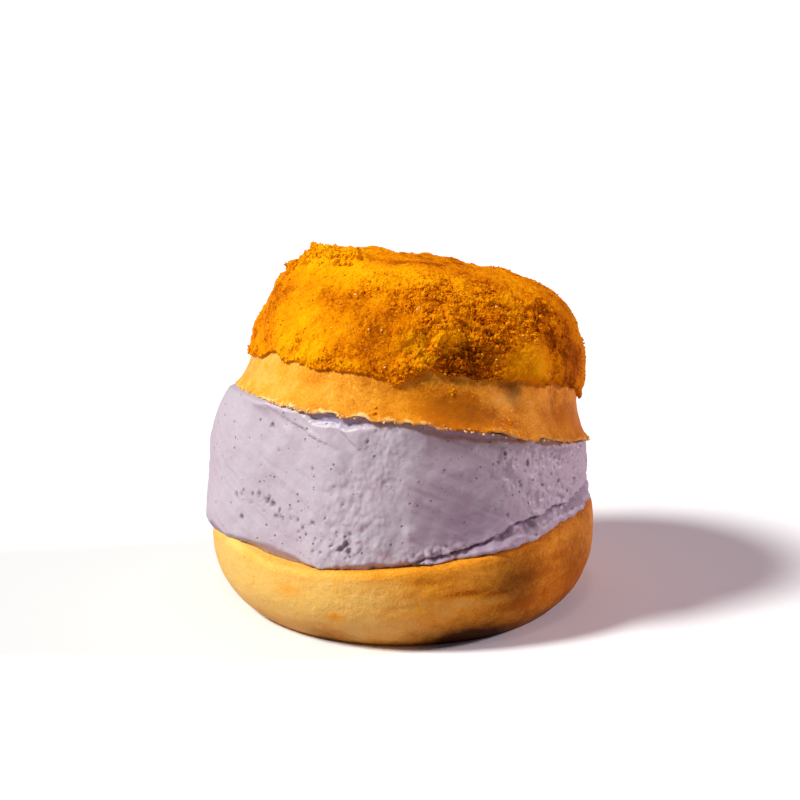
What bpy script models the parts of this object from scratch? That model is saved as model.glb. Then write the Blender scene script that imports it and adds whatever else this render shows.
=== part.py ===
"""A pineapple bun, split across and filled with a thick slab of purple cream.

The lower half of a round bread bun stands on its flat foot. The cream fills a wedge between the two
cut faces, thick on the left and thin on the right, so the upper half leans over to the right and
back. A sweet cookie crust, baked on and crumbled, lies over the upper half.

Metres, +Z up. The front is -Y. The origin is on the surface that the foot rests on, under the
middle of the bun.
"""

import math

import bmesh
import bpy
from mathutils import Vector, noise

MM = 0.001
GAP = 0.3 * MM  # left between neighbouring pieces
MERGE = 0.001 * MM  # points this close are one
COLUMNS = 56  # faces round each turned piece
FACE_RINGS = (14 * MM, 28 * MM, 40 * MM)  # radii that both sides of the lower cut share

# Lower half: a flat-footed round with its widest level below the cut
LOWER_CENTRE = 0.7 * MM
LOWER_RADIUS = 48.7 * MM
LOWER_WIDEST = 19.4 * MM
LOWER_DEPTH = 27.3 * MM
LOWER_FULLNESS = 2.6
LOWER_CROWN = 40.0 * MM
LOWER_LEVELS = 9  # levels of faces up the side
FOOT_EDGE = 0.6 * MM  # height of a first, low level
LOWER_DENT = 0.35 * MM
LOWER_DENT_SIZE = 24 * MM
LOWER_WRINKLE = 0.4 * MM
LOWER_WRINKLE_SIZE = 16 * MM
LOWER_WRINKLE_FLATNESS = 3  # how many times wider than high a wrinkle is
LOWER_WRINKLE_TURN = -55  # the wrinkles lie at the front right
LOWER_WRINKLE_SPREAD = 40
SHOULDER_HEIGHT = 1.6 * MM
SHOULDER_WIDTH = 1.5 * MM
SHOULDER_CORNERS = (30, 60, 90)  # degrees round the shoulder

# Lower cut face: rises to the right, with two places where the knife rode up
CUT_HEIGHT = 21.8 * MM
CUT_RISE = math.radians(5.1)
CUT_SWELLS = (
    # turn in degrees, distance from the axis, height, width
    (-152, 46 * MM, 2.7 * MM, 12.5 * MM),
    (-20, 46 * MM, 1.6 * MM, 11 * MM),
    (70, 44 * MM, 1.2 * MM, 18 * MM),
)

# Upper half: a dome in its own frame, with its cut face at height 0
UPPER_PLACE = (3.3 * MM, -0.5 * MM, 47.8 * MM)
UPPER_ROLL = math.radians(9.0)
UPPER_PITCH = math.radians(-10.0)
DOME_RADIUS = 40.7 * MM
DOME_HEIGHT = 37.5 * MM
DOME_FULLNESS = 3.3
FLARE = 4.4 * MM
FLARE_HEIGHT = 5.5 * MM
BELLY = 0.9 * MM  # how far the dome swells to the left
BELLY_HEIGHT = 10 * MM
SAG = 1.4 * MM  # how far the rim droops at the front left
SAG_TURN = -128
SAG_SPREAD = 26
SAG_START = 24 * MM
UPPER_RINGS = (SAG_START, 36 * MM)
DOME_DENT = 0.3 * MM
DOME_DENT_SIZE = 22 * MM
DOME_ROWS = 12
MERIDIAN_ROWS = 240  # for reading lengths along the dome

# Cream: a slab between the cuts, spread flat on two sides with a palette knife
CREAM_RADIUS_LOW = 46.9 * MM
CREAM_RADIUS_HIGH = 44.0 * MM
CREAM_BULGE = 4.4 * MM
CREAM_BULGE_TURN = 180
CREAM_BULGE_SPREAD = 42
CREAM_BULGE_LEAN = 0.6  # under 1, the bulge is fullest below the middle
CREAM_BULGE_FLATNESS = 0.35  # under 1, the bulge is blunt
CREAM_FLATS = ((-133, 0.97), (-76, 0.97))  # turn in degrees, share of the radius
CREAM_LEVELS = 15
CREAM_CROWDING = 1.25  # over 1, the levels crowd towards the lower cut
CREAM_WEDGE = 0.5  # how far the thickness at either side differs from the middle's, as a share
CREAM_UNDERCUT = 0.9 * MM
CREAM_UNDERCUT_HEIGHT = 2.2 * MM
CREAM_UNDERCUT_TURN = -140
CREAM_UNDERCUT_SPREAD = 38
CREAM_LEDGE = 1.7 * MM
CREAM_LEDGE_HEIGHT = 4.4 * MM
CREAM_LEDGE_TURN = -45
CREAM_LEDGE_SPREAD = 32
CREAM_SETBACK = 1.36 * MM  # how far the side above the ledge stands back
CREAM_RIPPLE = 0.35 * MM
CREAM_RIPPLE_SIZE = 9 * MM

# Cookie crust: a sheet draped over the dome
CRUST_THICKNESS = 1.7 * MM
CRUST_EDGE_THICKNESS = 1.1 * MM
CRUST_THINNEST = 0.7 * MM
CRUST_EDGE_HEIGHT = 10.9 * MM
CRUST_EDGE_SLANT = 2.6 * MM
CRUST_EDGE_SLANT_TURN = -15
CRUST_EDGE_RAGGED = 0.9 * MM
CRUST_EDGE_RAGGED_SIZE = 5 * MM
CRUST_EDGE_TUCK = 1.6 * MM
CRUST_EDGE_ROUNDING = 2.5 * MM
CRUST_CELLS = 54
CRUST_CRAG = 1.7 * MM
CRUST_CRAG_SIZE = 6.5 * MM
CRUST_CRAG_SINK = 0.2  # how far the crags lie under the crust's mean face, as a share of their height
# turn in degrees, height on the dome, width along the turn, width up the dome, rise
CRUST_FORMS = {
    "ridge_left": (-162, 32.5 * MM, 7 * MM, 4 * MM, 3.0 * MM),
    "ridge_middle": (-153, 34.5 * MM, 7 * MM, 5 * MM, 2.3 * MM),
    "ridge_front": (-134, 35.0 * MM, 6 * MM, 4 * MM, 1.4 * MM),
    "left_dip": (178, 20.0 * MM, 14 * MM, 5 * MM, -0.9 * MM),
    "left_high_dip": (-175, 28.0 * MM, 10 * MM, 3.5 * MM, -0.9 * MM),
    "right_dip": (-20, 32.5 * MM, 16 * MM, 8 * MM, -0.4 * MM),
    "drip": (-95, 11.5 * MM, 4 * MM, 4 * MM, 0.9 * MM),
    "recess": (-78, 15.0 * MM, 9 * MM, 3.5 * MM, -1.4 * MM),
    "lobe": (-52, 18.0 * MM, 7.5 * MM, 5.5 * MM, 1.5 * MM),
    "hollow": (-64, 12.5 * MM, 4 * MM, 3 * MM, -1.2 * MM),
    "brow": (-82, 22.0 * MM, 14 * MM, 4.5 * MM, 0.8 * MM),
    "back_ridge": (75, 34.0 * MM, 13 * MM, 6 * MM, 0.9 * MM),
    "back_recess": (120, 15.0 * MM, 9 * MM, 5 * MM, -0.9 * MM),
    "side_lobe": (10, 17.0 * MM, 9 * MM, 6 * MM, 0.7 * MM),
}
# where the edge hangs lower: turn in degrees, drop, spread in degrees
CRUST_DRIPS = (
    (-95, 1.6 * MM, 6),
    (-4, 3.2 * MM, 14),
    (95, 1.5 * MM, 12),
)
CRUST_SMOOTHING = 0.75
CRUST_LEAST_ROUGH = 0.2
# where the crust baked smooth: turn in degrees, height on the dome, width
CRUST_SMOOTH = (
    (-94, 35.5 * MM, 12 * MM),
    (-58, 34.0 * MM, 13 * MM),
    (-152, 19.0 * MM, 13 * MM),
    (-110, 20.0 * MM, 9 * MM),
    (-52, 18.0 * MM, 7 * MM),
    (50, 36.5 * MM, 12 * MM),
    (150, 20.0 * MM, 12 * MM),
)

BREAD_COLOUR = (0.80, 0.47, 0.15)
CREAM_COLOUR = (0.50, 0.39, 0.50)
CRUST_COLOUR = (0.72, 0.27, 0.012)


def hill(distance, width):
    """A smooth hill of height 1 at distance 0."""
    return math.exp(-((distance / width) ** 2))


def turn_between(turn, other):
    """Degrees from one turn to the other, from -180 to 180."""
    return (turn - other + 180) % 360 - 180


def rumple(place, size, octaves=3):
    """Uneven relief from about -1 to 1, whose largest lumps are about one size across."""
    return noise.fractal(Vector(place) / size, 1.0, 2.0, octaves, noise_basis="PERLIN_ORIGINAL")


def fresh_material(name, colour, roughness):
    """A plain Principled material."""
    material = bpy.data.materials.new(name)
    material.use_nodes = True
    shader = material.node_tree.nodes["Principled BSDF"]
    shader.inputs["Base Color"].default_value = (*colour, 1)
    shader.inputs["Roughness"].default_value = roughness
    shader.inputs["Metallic"].default_value = 0
    return material


def finished_object(name, form, material=None, parent=None):
    """The bmesh as a named object in the scene, shaded smooth."""
    mesh = bpy.data.meshes.new(name)
    form.to_mesh(mesh)
    form.free()
    mesh.shade_smooth()
    if material:
        mesh.materials.append(material)
    piece = bpy.data.objects.new(name, mesh)
    piece.parent = parent
    bpy.context.scene.collection.objects.link(piece)
    return piece


def turned(outline):
    """A closed solid turned round Z from (radius, height) points that start and end on the axis."""
    form = bmesh.new()
    points = [form.verts.new((radius, 0, height)) for radius, height in outline]
    edges = [form.edges.new(pair) for pair in zip(points, points[1:])]
    bmesh.ops.spin(
        form,
        geom=points + edges,
        cent=(0, 0, 0),
        axis=(0, 0, 1),
        angle=math.tau,
        steps=COLUMNS,
        use_merge=True,
    )
    bmesh.ops.remove_doubles(form, verts=form.verts, dist=MERGE)
    bmesh.ops.recalc_face_normals(form, faces=form.faces)
    return form


def reshape(form, rule):
    """Moves each point to where the rule puts it."""
    for point in form.verts:
        point.co = rule(*point.co)


def lower_radius(height):
    """Radius of the lower half's side at a height."""
    if height > LOWER_WIDEST:
        return LOWER_RADIUS * math.sqrt(1 - ((height - LOWER_WIDEST) / LOWER_CROWN) ** 2)
    drop = (LOWER_WIDEST - height) / LOWER_DEPTH
    return LOWER_RADIUS * (1 - drop**LOWER_FULLNESS) ** (1 / LOWER_FULLNESS)


def lower_cut(x, y):
    """Height of the lower cut face, at a place measured from the lower half's axis."""
    height = CUT_HEIGHT + x * math.tan(CUT_RISE)
    for turn, reach, rise, width in CUT_SWELLS:
        angle = math.radians(turn)
        distance = math.hypot(x - reach * math.cos(angle), y - reach * math.sin(angle))
        height += rise * hill(distance, width * math.sqrt(2))
    return height


def lower_place(x, y, z):
    """Where a point of the lower half's turned form lies on the real, uneven half."""
    height = z * lower_cut(x, y) / CUT_HEIGHT
    radius = math.hypot(x, y)
    if radius <= FACE_RINGS[-1] or z == 0:
        return x + LOWER_CENTRE, y, height
    stretch = lower_radius(height) / lower_radius(z)
    fade = math.sin(math.pi * min(z / CUT_HEIGHT, 1)) ** 0.5
    dent = LOWER_DENT * rumple((x, y, height), LOWER_DENT_SIZE)
    away = turn_between(math.degrees(math.atan2(y, x)), LOWER_WRINKLE_TURN)
    wrinkle = LOWER_WRINKLE * hill(away, LOWER_WRINKLE_SPREAD)
    wrinkle *= rumple((x, y, LOWER_WRINKLE_FLATNESS * height), LOWER_WRINKLE_SIZE, 2)
    grown = stretch + fade * (dent + wrinkle) / radius
    return x * grown + LOWER_CENTRE, y * grown, height


def build_lower_bun(material):
    """The lower half: flat foot, round side, rolled shoulder and sloping cut face."""
    straight = CUT_HEIGHT - SHOULDER_HEIGHT
    side = [level * straight / LOWER_LEVELS for level in range(LOWER_LEVELS + 1)]
    side.insert(1, FOOT_EDGE)
    outline = [(0, 0)] + [(lower_radius(height), height) for height in side]
    rim = lower_radius(CUT_HEIGHT)
    for corner in SHOULDER_CORNERS:
        angle = math.radians(corner)
        inward = SHOULDER_WIDTH * (1 - math.cos(angle))
        height = CUT_HEIGHT - SHOULDER_HEIGHT * (1 - math.sin(angle))
        outline.append((rim - inward, height))
    outline += [(radius, CUT_HEIGHT) for radius in reversed(FACE_RINGS)]
    outline.append((0, CUT_HEIGHT))
    form = turned(outline)
    reshape(form, lower_place)
    return finished_object("lower_bun", form, material)


def upper_sag(x, y):
    """How far the upper cut face droops at a place in the upper half's own frame."""
    radius = math.hypot(x, y)
    rim = DOME_RADIUS + FLARE
    outward = max(0, (radius - SAG_START) / (rim - SAG_START))
    return SAG * outward * hill(turn_between(math.degrees(math.atan2(y, x)), SAG_TURN), SAG_SPREAD)


def upper_cut(x, y):
    """World height of the upper half's cut face over a world place."""
    right = x - UPPER_PLACE[0]
    back = y - UPPER_PLACE[1]
    normal = upper_turn() @ Vector((0, 0, 1))
    plane = UPPER_PLACE[2] - (normal.x * right + normal.y * back) / normal.z
    return plane - upper_sag(right, back)


def upper_turn():
    """The upper half's turn, from its own frame to the world's."""
    holder = bpy.data.objects["upper_half"]
    return holder.rotation_euler.to_matrix()


def cream_radius(turn, level):
    """The cream's reach at a turn in degrees, from level 0 at the lower cut to 1 at the upper."""
    radius = CREAM_RADIUS_LOW + level * (CREAM_RADIUS_HIGH - CREAM_RADIUS_LOW)
    swelling = 0
    if level < 1:
        swelling = math.sin(math.pi * level**CREAM_BULGE_LEAN) ** CREAM_BULGE_FLATNESS
    bulge = hill(turn_between(turn, CREAM_BULGE_TURN), CREAM_BULGE_SPREAD)
    radius += CREAM_BULGE * bulge * swelling
    full = radius
    for flat_turn, share in CREAM_FLATS:
        away = math.cos(math.radians(turn_between(turn, flat_turn)))
        if away > share:
            radius = min(radius, full * share / away)
    return radius


def cream_place(x, y, z):
    """Where a point of the cream's turned form lies: z is its level, from 0 to 1."""
    centre = LOWER_CENTRE + z * (UPPER_PLACE[0] - LOWER_CENTRE)
    radius = math.hypot(x, y)
    turn = math.degrees(math.atan2(y, x))
    if radius > FACE_RINGS[-1]:
        thickness = UPPER_PLACE[2] - CUT_HEIGHT
        height = z * thickness * (1 - CREAM_WEDGE * x / radius)
        left = hill(turn_between(turn, CREAM_UNDERCUT_TURN), CREAM_UNDERCUT_SPREAD)
        right = hill(turn_between(turn, CREAM_LEDGE_TURN), CREAM_LEDGE_SPREAD)
        reach = cream_radius(turn, z)
        reach -= CREAM_UNDERCUT * left * max(0, 1 - height / CREAM_UNDERCUT_HEIGHT)
        reach += right * (CREAM_LEDGE * hill(height, CREAM_LEDGE_HEIGHT) - CREAM_SETBACK)
        reach += CREAM_RIPPLE * rumple((x, y, height), CREAM_RIPPLE_SIZE)
        x, y = x * reach / radius, y * reach / radius
    floor = lower_cut(x, y) + GAP
    world_x = x + centre
    ceiling = upper_cut(world_x, y) - GAP
    return world_x, y, floor + z * (ceiling - floor)


def build_cream(material):
    """The slab of cream between the two cut faces."""
    rim = CREAM_RADIUS_LOW
    outline = [(0, 0)] + [(radius, 0) for radius in FACE_RINGS]
    outline += [(rim, (level / CREAM_LEVELS) ** CREAM_CROWDING) for level in range(CREAM_LEVELS + 1)]
    outline += [(radius, 1) for radius in reversed(UPPER_RINGS)]
    outline.append((0, 1))
    form = turned(outline)
    reshape(form, cream_place)
    return finished_object("cream_filling", form, material)


def dome_radius(height):
    """Radius of the upper half's bread at a height above its cut face."""
    share = min(height / DOME_HEIGHT, 1)
    body = DOME_RADIUS * (1 - share**DOME_FULLNESS) ** (1 / DOME_FULLNESS)
    return body + FLARE * math.exp(-height / FLARE_HEIGHT) * (1 - share)


def dome_outline(rows):
    """(radius, height) points from the dome's rim to its top, evenly spaced in angle."""
    outline = []
    for row in range(rows + 1):
        angle = math.pi / 2 * row / rows
        height = DOME_HEIGHT * math.sin(angle) ** (2 / DOME_FULLNESS)
        outline.append((dome_radius(height) if row < rows else 0, height))
    return outline


def belly(height):
    """How far the dome lies to the left of its axis at a height."""
    return BELLY * hill(height - BELLY_HEIGHT, BELLY_HEIGHT)


def dome_place(x, y, z):
    """Where a point of the dome's turned form lies on the real, uneven dome."""
    drooped = z - upper_sag(x, y) * (1 - z / DOME_HEIGHT)
    radius = math.hypot(x, y)
    if z == 0 or radius == 0:
        return x, y, drooped
    grown = 1 + DOME_DENT * rumple((x, y, z), DOME_DENT_SIZE) / radius
    return x * grown - belly(z), y * grown, drooped


def dome_outline_with_face():
    """The dome's outline, closed by its cut face."""
    face = [(0, 0)] + [(radius, 0) for radius in UPPER_RINGS]
    return face + dome_outline(DOME_ROWS)


def build_upper_bun(material, holder):
    """The upper half's bread."""
    form = turned(dome_outline_with_face())
    reshape(form, dome_place)
    return finished_object("upper_bun", form, material, holder)


def build_crust_cutter(holder):
    """The upper half's bread grown by the gap, which hollows the crust out."""
    form = turned(dome_outline_with_face())
    reshape(form, dome_place)
    form.normal_update()
    away = {point: point.normal.copy() for point in form.verts}
    for point in form.verts:
        point.co += away[point] * GAP
    cutter = finished_object("crust_cutter", form, parent=holder)
    cutter.hide_render = True
    cutter.display_type = "WIRE"
    return cutter


class DomeMeridian:
    """The dome's side as a line from its top down, read by distance along it."""

    def __init__(self):
        outline = dome_outline(MERIDIAN_ROWS)
        self.points = [Vector((radius, height)) for radius, height in reversed(outline)]
        self.lengths = [0.0]
        for point, other in zip(self.points, self.points[1:]):
            self.lengths.append(self.lengths[-1] + (other - point).length)

    def length_at_height(self, height):
        """Distance from the top down to a height."""
        for length, point in zip(self.lengths, self.points):
            if point.y <= height:
                return length
        return self.lengths[-1]

    def read(self, length):
        """(point, outward normal) at a distance from the top, as (radius, height) vectors."""
        index = 1
        while index < len(self.lengths) - 1 and self.lengths[index] < length:
            index += 1
        start, end = self.points[index - 1], self.points[index]
        share = (length - self.lengths[index - 1]) / (self.lengths[index] - self.lengths[index - 1])
        along = (end - start).normalized()
        return start.lerp(end, share), Vector((-along.y, along.x))


def on_dome(turn, height):
    """The place on the dome at a turn in degrees and a height."""
    radius = dome_radius(height)
    return Vector((radius * math.cos(math.radians(turn)), radius * math.sin(math.radians(turn)), height))


def crust_edge(turn):
    """Height of the crust's ragged lower edge at a turn in degrees."""
    slant = math.cos(math.radians(turn - CRUST_EDGE_SLANT_TURN))
    place = on_dome(turn, CRUST_EDGE_HEIGHT)
    ragged = CRUST_EDGE_RAGGED * rumple(place, CRUST_EDGE_RAGGED_SIZE, 2)
    height = CRUST_EDGE_HEIGHT + CRUST_EDGE_SLANT * slant + ragged
    for drip_turn, drop, spread in CRUST_DRIPS:
        height -= drop * hill(turn_between(turn, drip_turn), spread)
    return height


def crust_thickness(place):
    """How far the crust stands off the bread at a place on the dome."""
    turn = math.degrees(math.atan2(place.y, place.x))
    radius = math.hypot(place.x, place.y)
    thickness = CRUST_THICKNESS
    for form_turn, height, across, up, rise in CRUST_FORMS.values():
        sideways = math.radians(turn_between(turn, form_turn)) * radius
        upward = math.hypot(place.z - height, radius - dome_radius(height))
        thickness += rise * hill(sideways, across) * hill(upward, up)
    rough = 1.0
    for smooth_turn, height, width in CRUST_SMOOTH:
        rough -= CRUST_SMOOTHING * hill((place - on_dome(smooth_turn, height)).length, width)
    crag = rumple(place, CRUST_CRAG_SIZE) - CRUST_CRAG_SINK
    thickness += CRUST_CRAG * max(rough, CRUST_LEAST_ROUGH) * crag
    return max(thickness, CRUST_THINNEST)


def drape(x, y, meridian):
    """Where a point of the square sheet, from -1 to 1 each way, lies on the crust's outer face."""
    share = max(abs(x), abs(y))
    if share == 0:
        turn = 0.0
    elif abs(x) > abs(y):
        turn = math.pi / 4 * y / x + (math.pi if x < 0 else 0)
    else:
        turn = math.pi / 2 - math.pi / 4 * x / y + (math.pi if y < 0 else 0)
    reach = meridian.length_at_height(crust_edge(math.degrees(turn)))
    point, normal = meridian.read(share * reach)
    bread = Vector((point.x * math.cos(turn), point.x * math.sin(turn), point.y))
    away = Vector((normal.x * math.cos(turn), normal.x * math.sin(turn), normal.y))
    thickness = crust_thickness(bread)
    rim = max(0, 1 - (1 - share) * reach / CRUST_EDGE_ROUNDING)
    thickness += (CRUST_EDGE_THICKNESS - thickness) * rim**2
    return Vector(dome_place(*bread)) + away * thickness


def build_crust(material, holder, cutter):
    """The cookie crust: a crumbled sheet, tucked into the bread at its edge and then hollowed out."""
    meridian = DomeMeridian()
    form = bmesh.new()
    bmesh.ops.create_grid(form, x_segments=CRUST_CELLS, y_segments=CRUST_CELLS, size=1)
    reshape(form, lambda x, y, z: drape(x, y, meridian))
    edge = [side for side in form.edges if side.is_boundary]
    tucked = bmesh.ops.extrude_edge_only(form, edges=edge)["geom"]
    tucked_points = [item for item in tucked if isinstance(item, bmesh.types.BMVert)]
    for point in tucked_points:
        outward = Vector((point.co.x, point.co.y, 0)).normalized()
        point.co -= outward * (CRUST_EDGE_THICKNESS + CRUST_EDGE_TUCK)
    tucked_edge = [item for item in tucked if isinstance(item, bmesh.types.BMEdge)]
    inner_edge = [side for side in tucked_edge if side.is_boundary]
    inside = bmesh.ops.extrude_edge_only(form, edges=inner_edge)["geom"]
    inside_points = [item for item in inside if isinstance(item, bmesh.types.BMVert)]
    for point in inside_points:
        point.co = (0, 0, CRUST_EDGE_HEIGHT)
    bmesh.ops.remove_doubles(form, verts=inside_points, dist=MERGE)
    bmesh.ops.triangulate(form, faces=form.faces)
    bmesh.ops.recalc_face_normals(form, faces=form.faces)
    crust = finished_object("cookie_crust", form, material, holder)
    hollow = crust.modifiers.new("hollow", "BOOLEAN")
    hollow.operation = "DIFFERENCE"
    hollow.solver = "EXACT"
    hollow.object = cutter
    return crust


def clear_scene():
    """Removes what the scene holds."""
    for thing in list(bpy.data.objects):
        bpy.data.objects.remove(thing)


def place_upper_half():
    """The empty that carries the upper half's pieces, leaning to the right and back."""
    holder = bpy.data.objects.new("upper_half", None)
    holder.location = UPPER_PLACE
    holder.rotation_euler = (UPPER_PITCH, UPPER_ROLL, 0)
    bpy.context.scene.collection.objects.link(holder)
    return holder


def build():
    """The whole bun."""
    clear_scene()
    bread = fresh_material("bread", BREAD_COLOUR, 0.55)
    cream = fresh_material("cream", CREAM_COLOUR, 0.45)
    cookie = fresh_material("cookie", CRUST_COLOUR, 0.6)
    holder = place_upper_half()
    build_lower_bun(bread)
    build_cream(cream)
    build_upper_bun(bread, holder)
    build_crust(cookie, holder, build_crust_cutter(holder))


build()
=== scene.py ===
"""The looks of a split, cream-filled pineapple bun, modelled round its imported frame.

Metres, +Z up, with the front at -Y. Each sub-assembly is a class: the lower half's bread, the cream, the
upper half's bread, its cookie crust, and the crumbs and sugar that lie on them. The upper half's pieces
are worked out in their own frame, which leans to the right and back, and are then placed in the world.
A turn is an angle round the axis in degrees, from +X towards +Y, and tables of places are in millimetres.
"""

import logging
import math
from collections.abc import Callable
from dataclasses import dataclass
from enum import Enum

import bmesh
import bpy
import numpy as np
from mathutils import Euler, Matrix, Vector, noise

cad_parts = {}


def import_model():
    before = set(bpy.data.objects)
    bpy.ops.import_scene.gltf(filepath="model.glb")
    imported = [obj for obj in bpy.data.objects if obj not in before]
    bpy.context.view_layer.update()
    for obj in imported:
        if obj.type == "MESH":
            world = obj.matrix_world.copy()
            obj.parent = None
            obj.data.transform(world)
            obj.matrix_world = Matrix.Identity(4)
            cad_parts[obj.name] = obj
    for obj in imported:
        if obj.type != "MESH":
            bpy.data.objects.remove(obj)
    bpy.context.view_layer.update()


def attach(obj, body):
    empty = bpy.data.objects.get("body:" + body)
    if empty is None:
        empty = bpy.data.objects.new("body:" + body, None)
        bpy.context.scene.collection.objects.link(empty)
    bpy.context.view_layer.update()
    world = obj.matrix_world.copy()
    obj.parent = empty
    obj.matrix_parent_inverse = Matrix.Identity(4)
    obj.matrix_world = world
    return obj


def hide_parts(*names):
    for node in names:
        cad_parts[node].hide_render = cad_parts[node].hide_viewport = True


MM = 0.001
TINY = 1e-9
MERGE = 0.001 * MM
BODY = "root"
NOISE = {"noise_basis": "PERLIN_ORIGINAL"}
Array = np.ndarray
Masks = dict[str, Array]
Row = tuple[float, ...]
Outline = list[tuple[float, float]]
Colour = tuple[float, float, float]
Material = bpy.types.Material
Mesh = bpy.types.Mesh
Socket = bpy.types.NodeSocket
log = logging.getLogger("pineapple_bun")


class Slot(Enum):
    """The bun's material slots."""

    BREAD = "bread"
    CREAM = "cream"
    COOKIE = "cookie"


# Shape helpers


def hill(distance: Array, width: float) -> Array:
    """A smooth hill of height 1 at distance 0."""
    return np.exp(-((distance / width) ** 2))


def step(value: Array, width: float, steepness: float = 4, flat: float = 60) -> Array:
    """A smooth step from 0 to 1 round value 0, about one width wide."""
    return 1 / (1 + np.exp(np.clip(-steepness * value / width, -flat, flat)))


def turn_between(turn: Array, other: float) -> Array:
    """Degrees from one turn to the other, from -180 to 180."""
    return (turn - other + 180) % 360 - 180


def turn_of(x: Array, y: Array) -> Array:
    """The turn of a place round the axis, in degrees."""
    return np.degrees(np.arctan2(y, x))


def sector(turn: Array, middle: float, spread: float) -> Array:
    """A smooth hill of height 1 round a turn, with its spread in degrees."""
    return hill(turn_between(turn, middle), spread)


def around(turn: Array, radius: float, height: Array) -> Array:
    """The points at a turn in degrees, a radius and a height, one a row."""
    angle = np.radians(turn)
    return np.column_stack((radius * np.cos(angle), radius * np.sin(angle), height))


def rumple(places: Array, size: float, octaves: int = 3) -> Array:
    """Uneven relief from about -1 to 1.

    Args:
        places: points, one a row.
        size: width of the largest lumps.
        octaves: how many finer layers the relief has.

    Returns:
        The relief at each point.
    """
    falloff, finer = 1.0, 2.0
    scaled = (places / size).tolist()
    return np.array([noise.fractal(place, falloff, finer, octaves, **NOISE) for place in scaled])


def billow(places: Array, size: float, octaves: int = 3) -> Array:
    """Puffy relief from 0 to about 1, whose lumps meet in sharp creases.

    Args:
        places: points, one a row.
        size: width of the largest lumps.
        octaves: how many finer layers the relief has.

    Returns:
        The relief at each point.
    """
    sharp = True
    scaled = (places / size).tolist()
    return np.array([noise.turbulence(place, octaves, sharp, **NOISE) for place in scaled])


@dataclass(frozen=True)
class Ripple:
    """Uneven relief of one kind: how far its lumps stand out and how wide they are."""

    depth: float
    size: float
    octaves: int = 3
    shift: float | Row = 0.0

    def at(self, places: Array) -> Array:
        """The relief at each point."""
        return self.depth * rumple(places + self.shift, self.size, self.octaves)


def cells(places: Array, size: float) -> tuple[Array, Array, Array]:
    """A pattern of rounded cells.

    Args:
        places: points, one a row.
        size: spacing of the cells.

    Returns:
        Distance to the nearest cell's middle, how much further the next one is, both as shares of the
        size, and a number from 0 to 1 that is the cell's own.
    """
    scatter = 37.0
    near, margin, chance = [], [], []
    for place in (places / size).tolist():
        distances, middles = noise.voronoi(place)
        near.append(distances[0])
        margin.append(distances[1] - distances[0])
        chance.append(noise.cell(middles[0] * scatter) * 0.5 + 0.5)
    return np.array(near), np.array(margin), np.array(chance)


@dataclass(frozen=True)
class Patch:
    """A soft-edged spot on a round side, with its half widths and how strongly it shows."""

    turn: float
    height: float
    across: float
    up: float
    amount: float


def patches(*rows: Row, unit: float = 1.0) -> tuple[Patch, ...]:
    """Makes patches from a table.

    Args:
        rows: each patch's turn in degrees, height, half width across and half width up in millimetres,
            and amount.
        unit: what the amounts are measured in.

    Returns:
        The patches.
    """
    made = []
    for turn, height, across, up, amount in rows:
        made.append(Patch(turn, height * MM, across * MM, up * MM, amount * unit))
    return tuple(made)


def in_mm(*rows: Row, plain: int = 1) -> tuple[Row, ...]:
    """Rows of a table whose values, past the first plain ones, are lengths in millimetres."""
    return tuple(row[:plain] + tuple(length * MM for length in row[plain:]) for row in rows)


def patched(
    spots: tuple[Patch, ...],
    turn: Array,
    height: Array,
    radius: Array,
    rim: Callable[[Array], Array] | None = None,
) -> Array:
    """Sums the patches at each point.

    Args:
        spots: the patches, with turns in degrees.
        turn: the points' turns, in degrees.
        height: the points' heights.
        radius: the points' distances from the axis.
        rim: the side's radius at a height, for a side that closes to a dome.

    Returns:
        The summed amount at each point.
    """
    total = np.zeros_like(turn)
    for spot in spots:
        sideways = np.radians(turn_between(turn, spot.turn)) * radius
        inward = radius - rim(np.array(spot.height)) if rim else 0
        upward = np.hypot(height - spot.height, inward)
        total += spot.amount * hill(sideways, spot.across) * hill(upward, spot.up)
    return total


def turned(outline: Outline, columns: int) -> Mesh:
    """Spins an outline round Z into a closed mesh.

    Args:
        outline: (radius, height) points that start and end on the axis.
        columns: faces round the axis.

    Returns:
        The mesh.
    """
    form = bmesh.new()
    points = [form.verts.new((radius, 0, height)) for radius, height in outline]
    edges = [form.edges.new(pair) for pair in zip(points, points[1:])]
    turn = {"cent": (0, 0, 0), "axis": (0, 0, 1), "angle": math.tau, "steps": columns}
    bmesh.ops.spin(form, geom=points + edges, use_merge=True, **turn)
    bmesh.ops.remove_doubles(form, verts=form.verts, dist=MERGE)
    bmesh.ops.recalc_face_normals(form, faces=form.faces)
    return mesh_of(form, "turned")


def mesh_of(form: bmesh.types.BMesh, name: str) -> Mesh:
    """Turns a finished form into a mesh, and frees it.

    Args:
        form: the form.
        name: the mesh's name.

    Returns:
        The mesh.
    """
    mesh = bpy.data.meshes.new(name)
    form.to_mesh(mesh)
    form.free()
    return mesh


def read(items: bpy.types.bpy_prop_collection, key: str, width: int = 1, kind: type = float) -> Array:
    """Reads a value of each item.

    Args:
        items: such as a mesh's points.
        key: the value's name.
        width: how many numbers each value has.
        kind: the numbers' type.

    Returns:
        The values, one a row.
    """
    flat = np.empty(len(items) * width, kind)
    items.foreach_get(key, flat)
    return flat.reshape(-1, width) if width > 1 else flat


def points_of(mesh: Mesh) -> Array:
    """The mesh's points, one a row."""
    return read(mesh.vertices, "co", 3)


def normals_of(mesh: Mesh) -> Array:
    """The outward direction at each point of the mesh."""
    return read(mesh.vertex_normals, "vector", 3)


def put_points(mesh: Mesh, points: Array) -> None:
    """Moves the mesh's points."""
    mesh.vertices.foreach_set("co", points.ravel())
    mesh.update()


def put_mask(mesh: Mesh, name: str, values: Array) -> None:
    """Stores a number for each point, which a material reads by name."""
    mask = mesh.attributes.new(name, "FLOAT", "POINT")
    mask.data.foreach_set("value", values.astype(np.float32))


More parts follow.
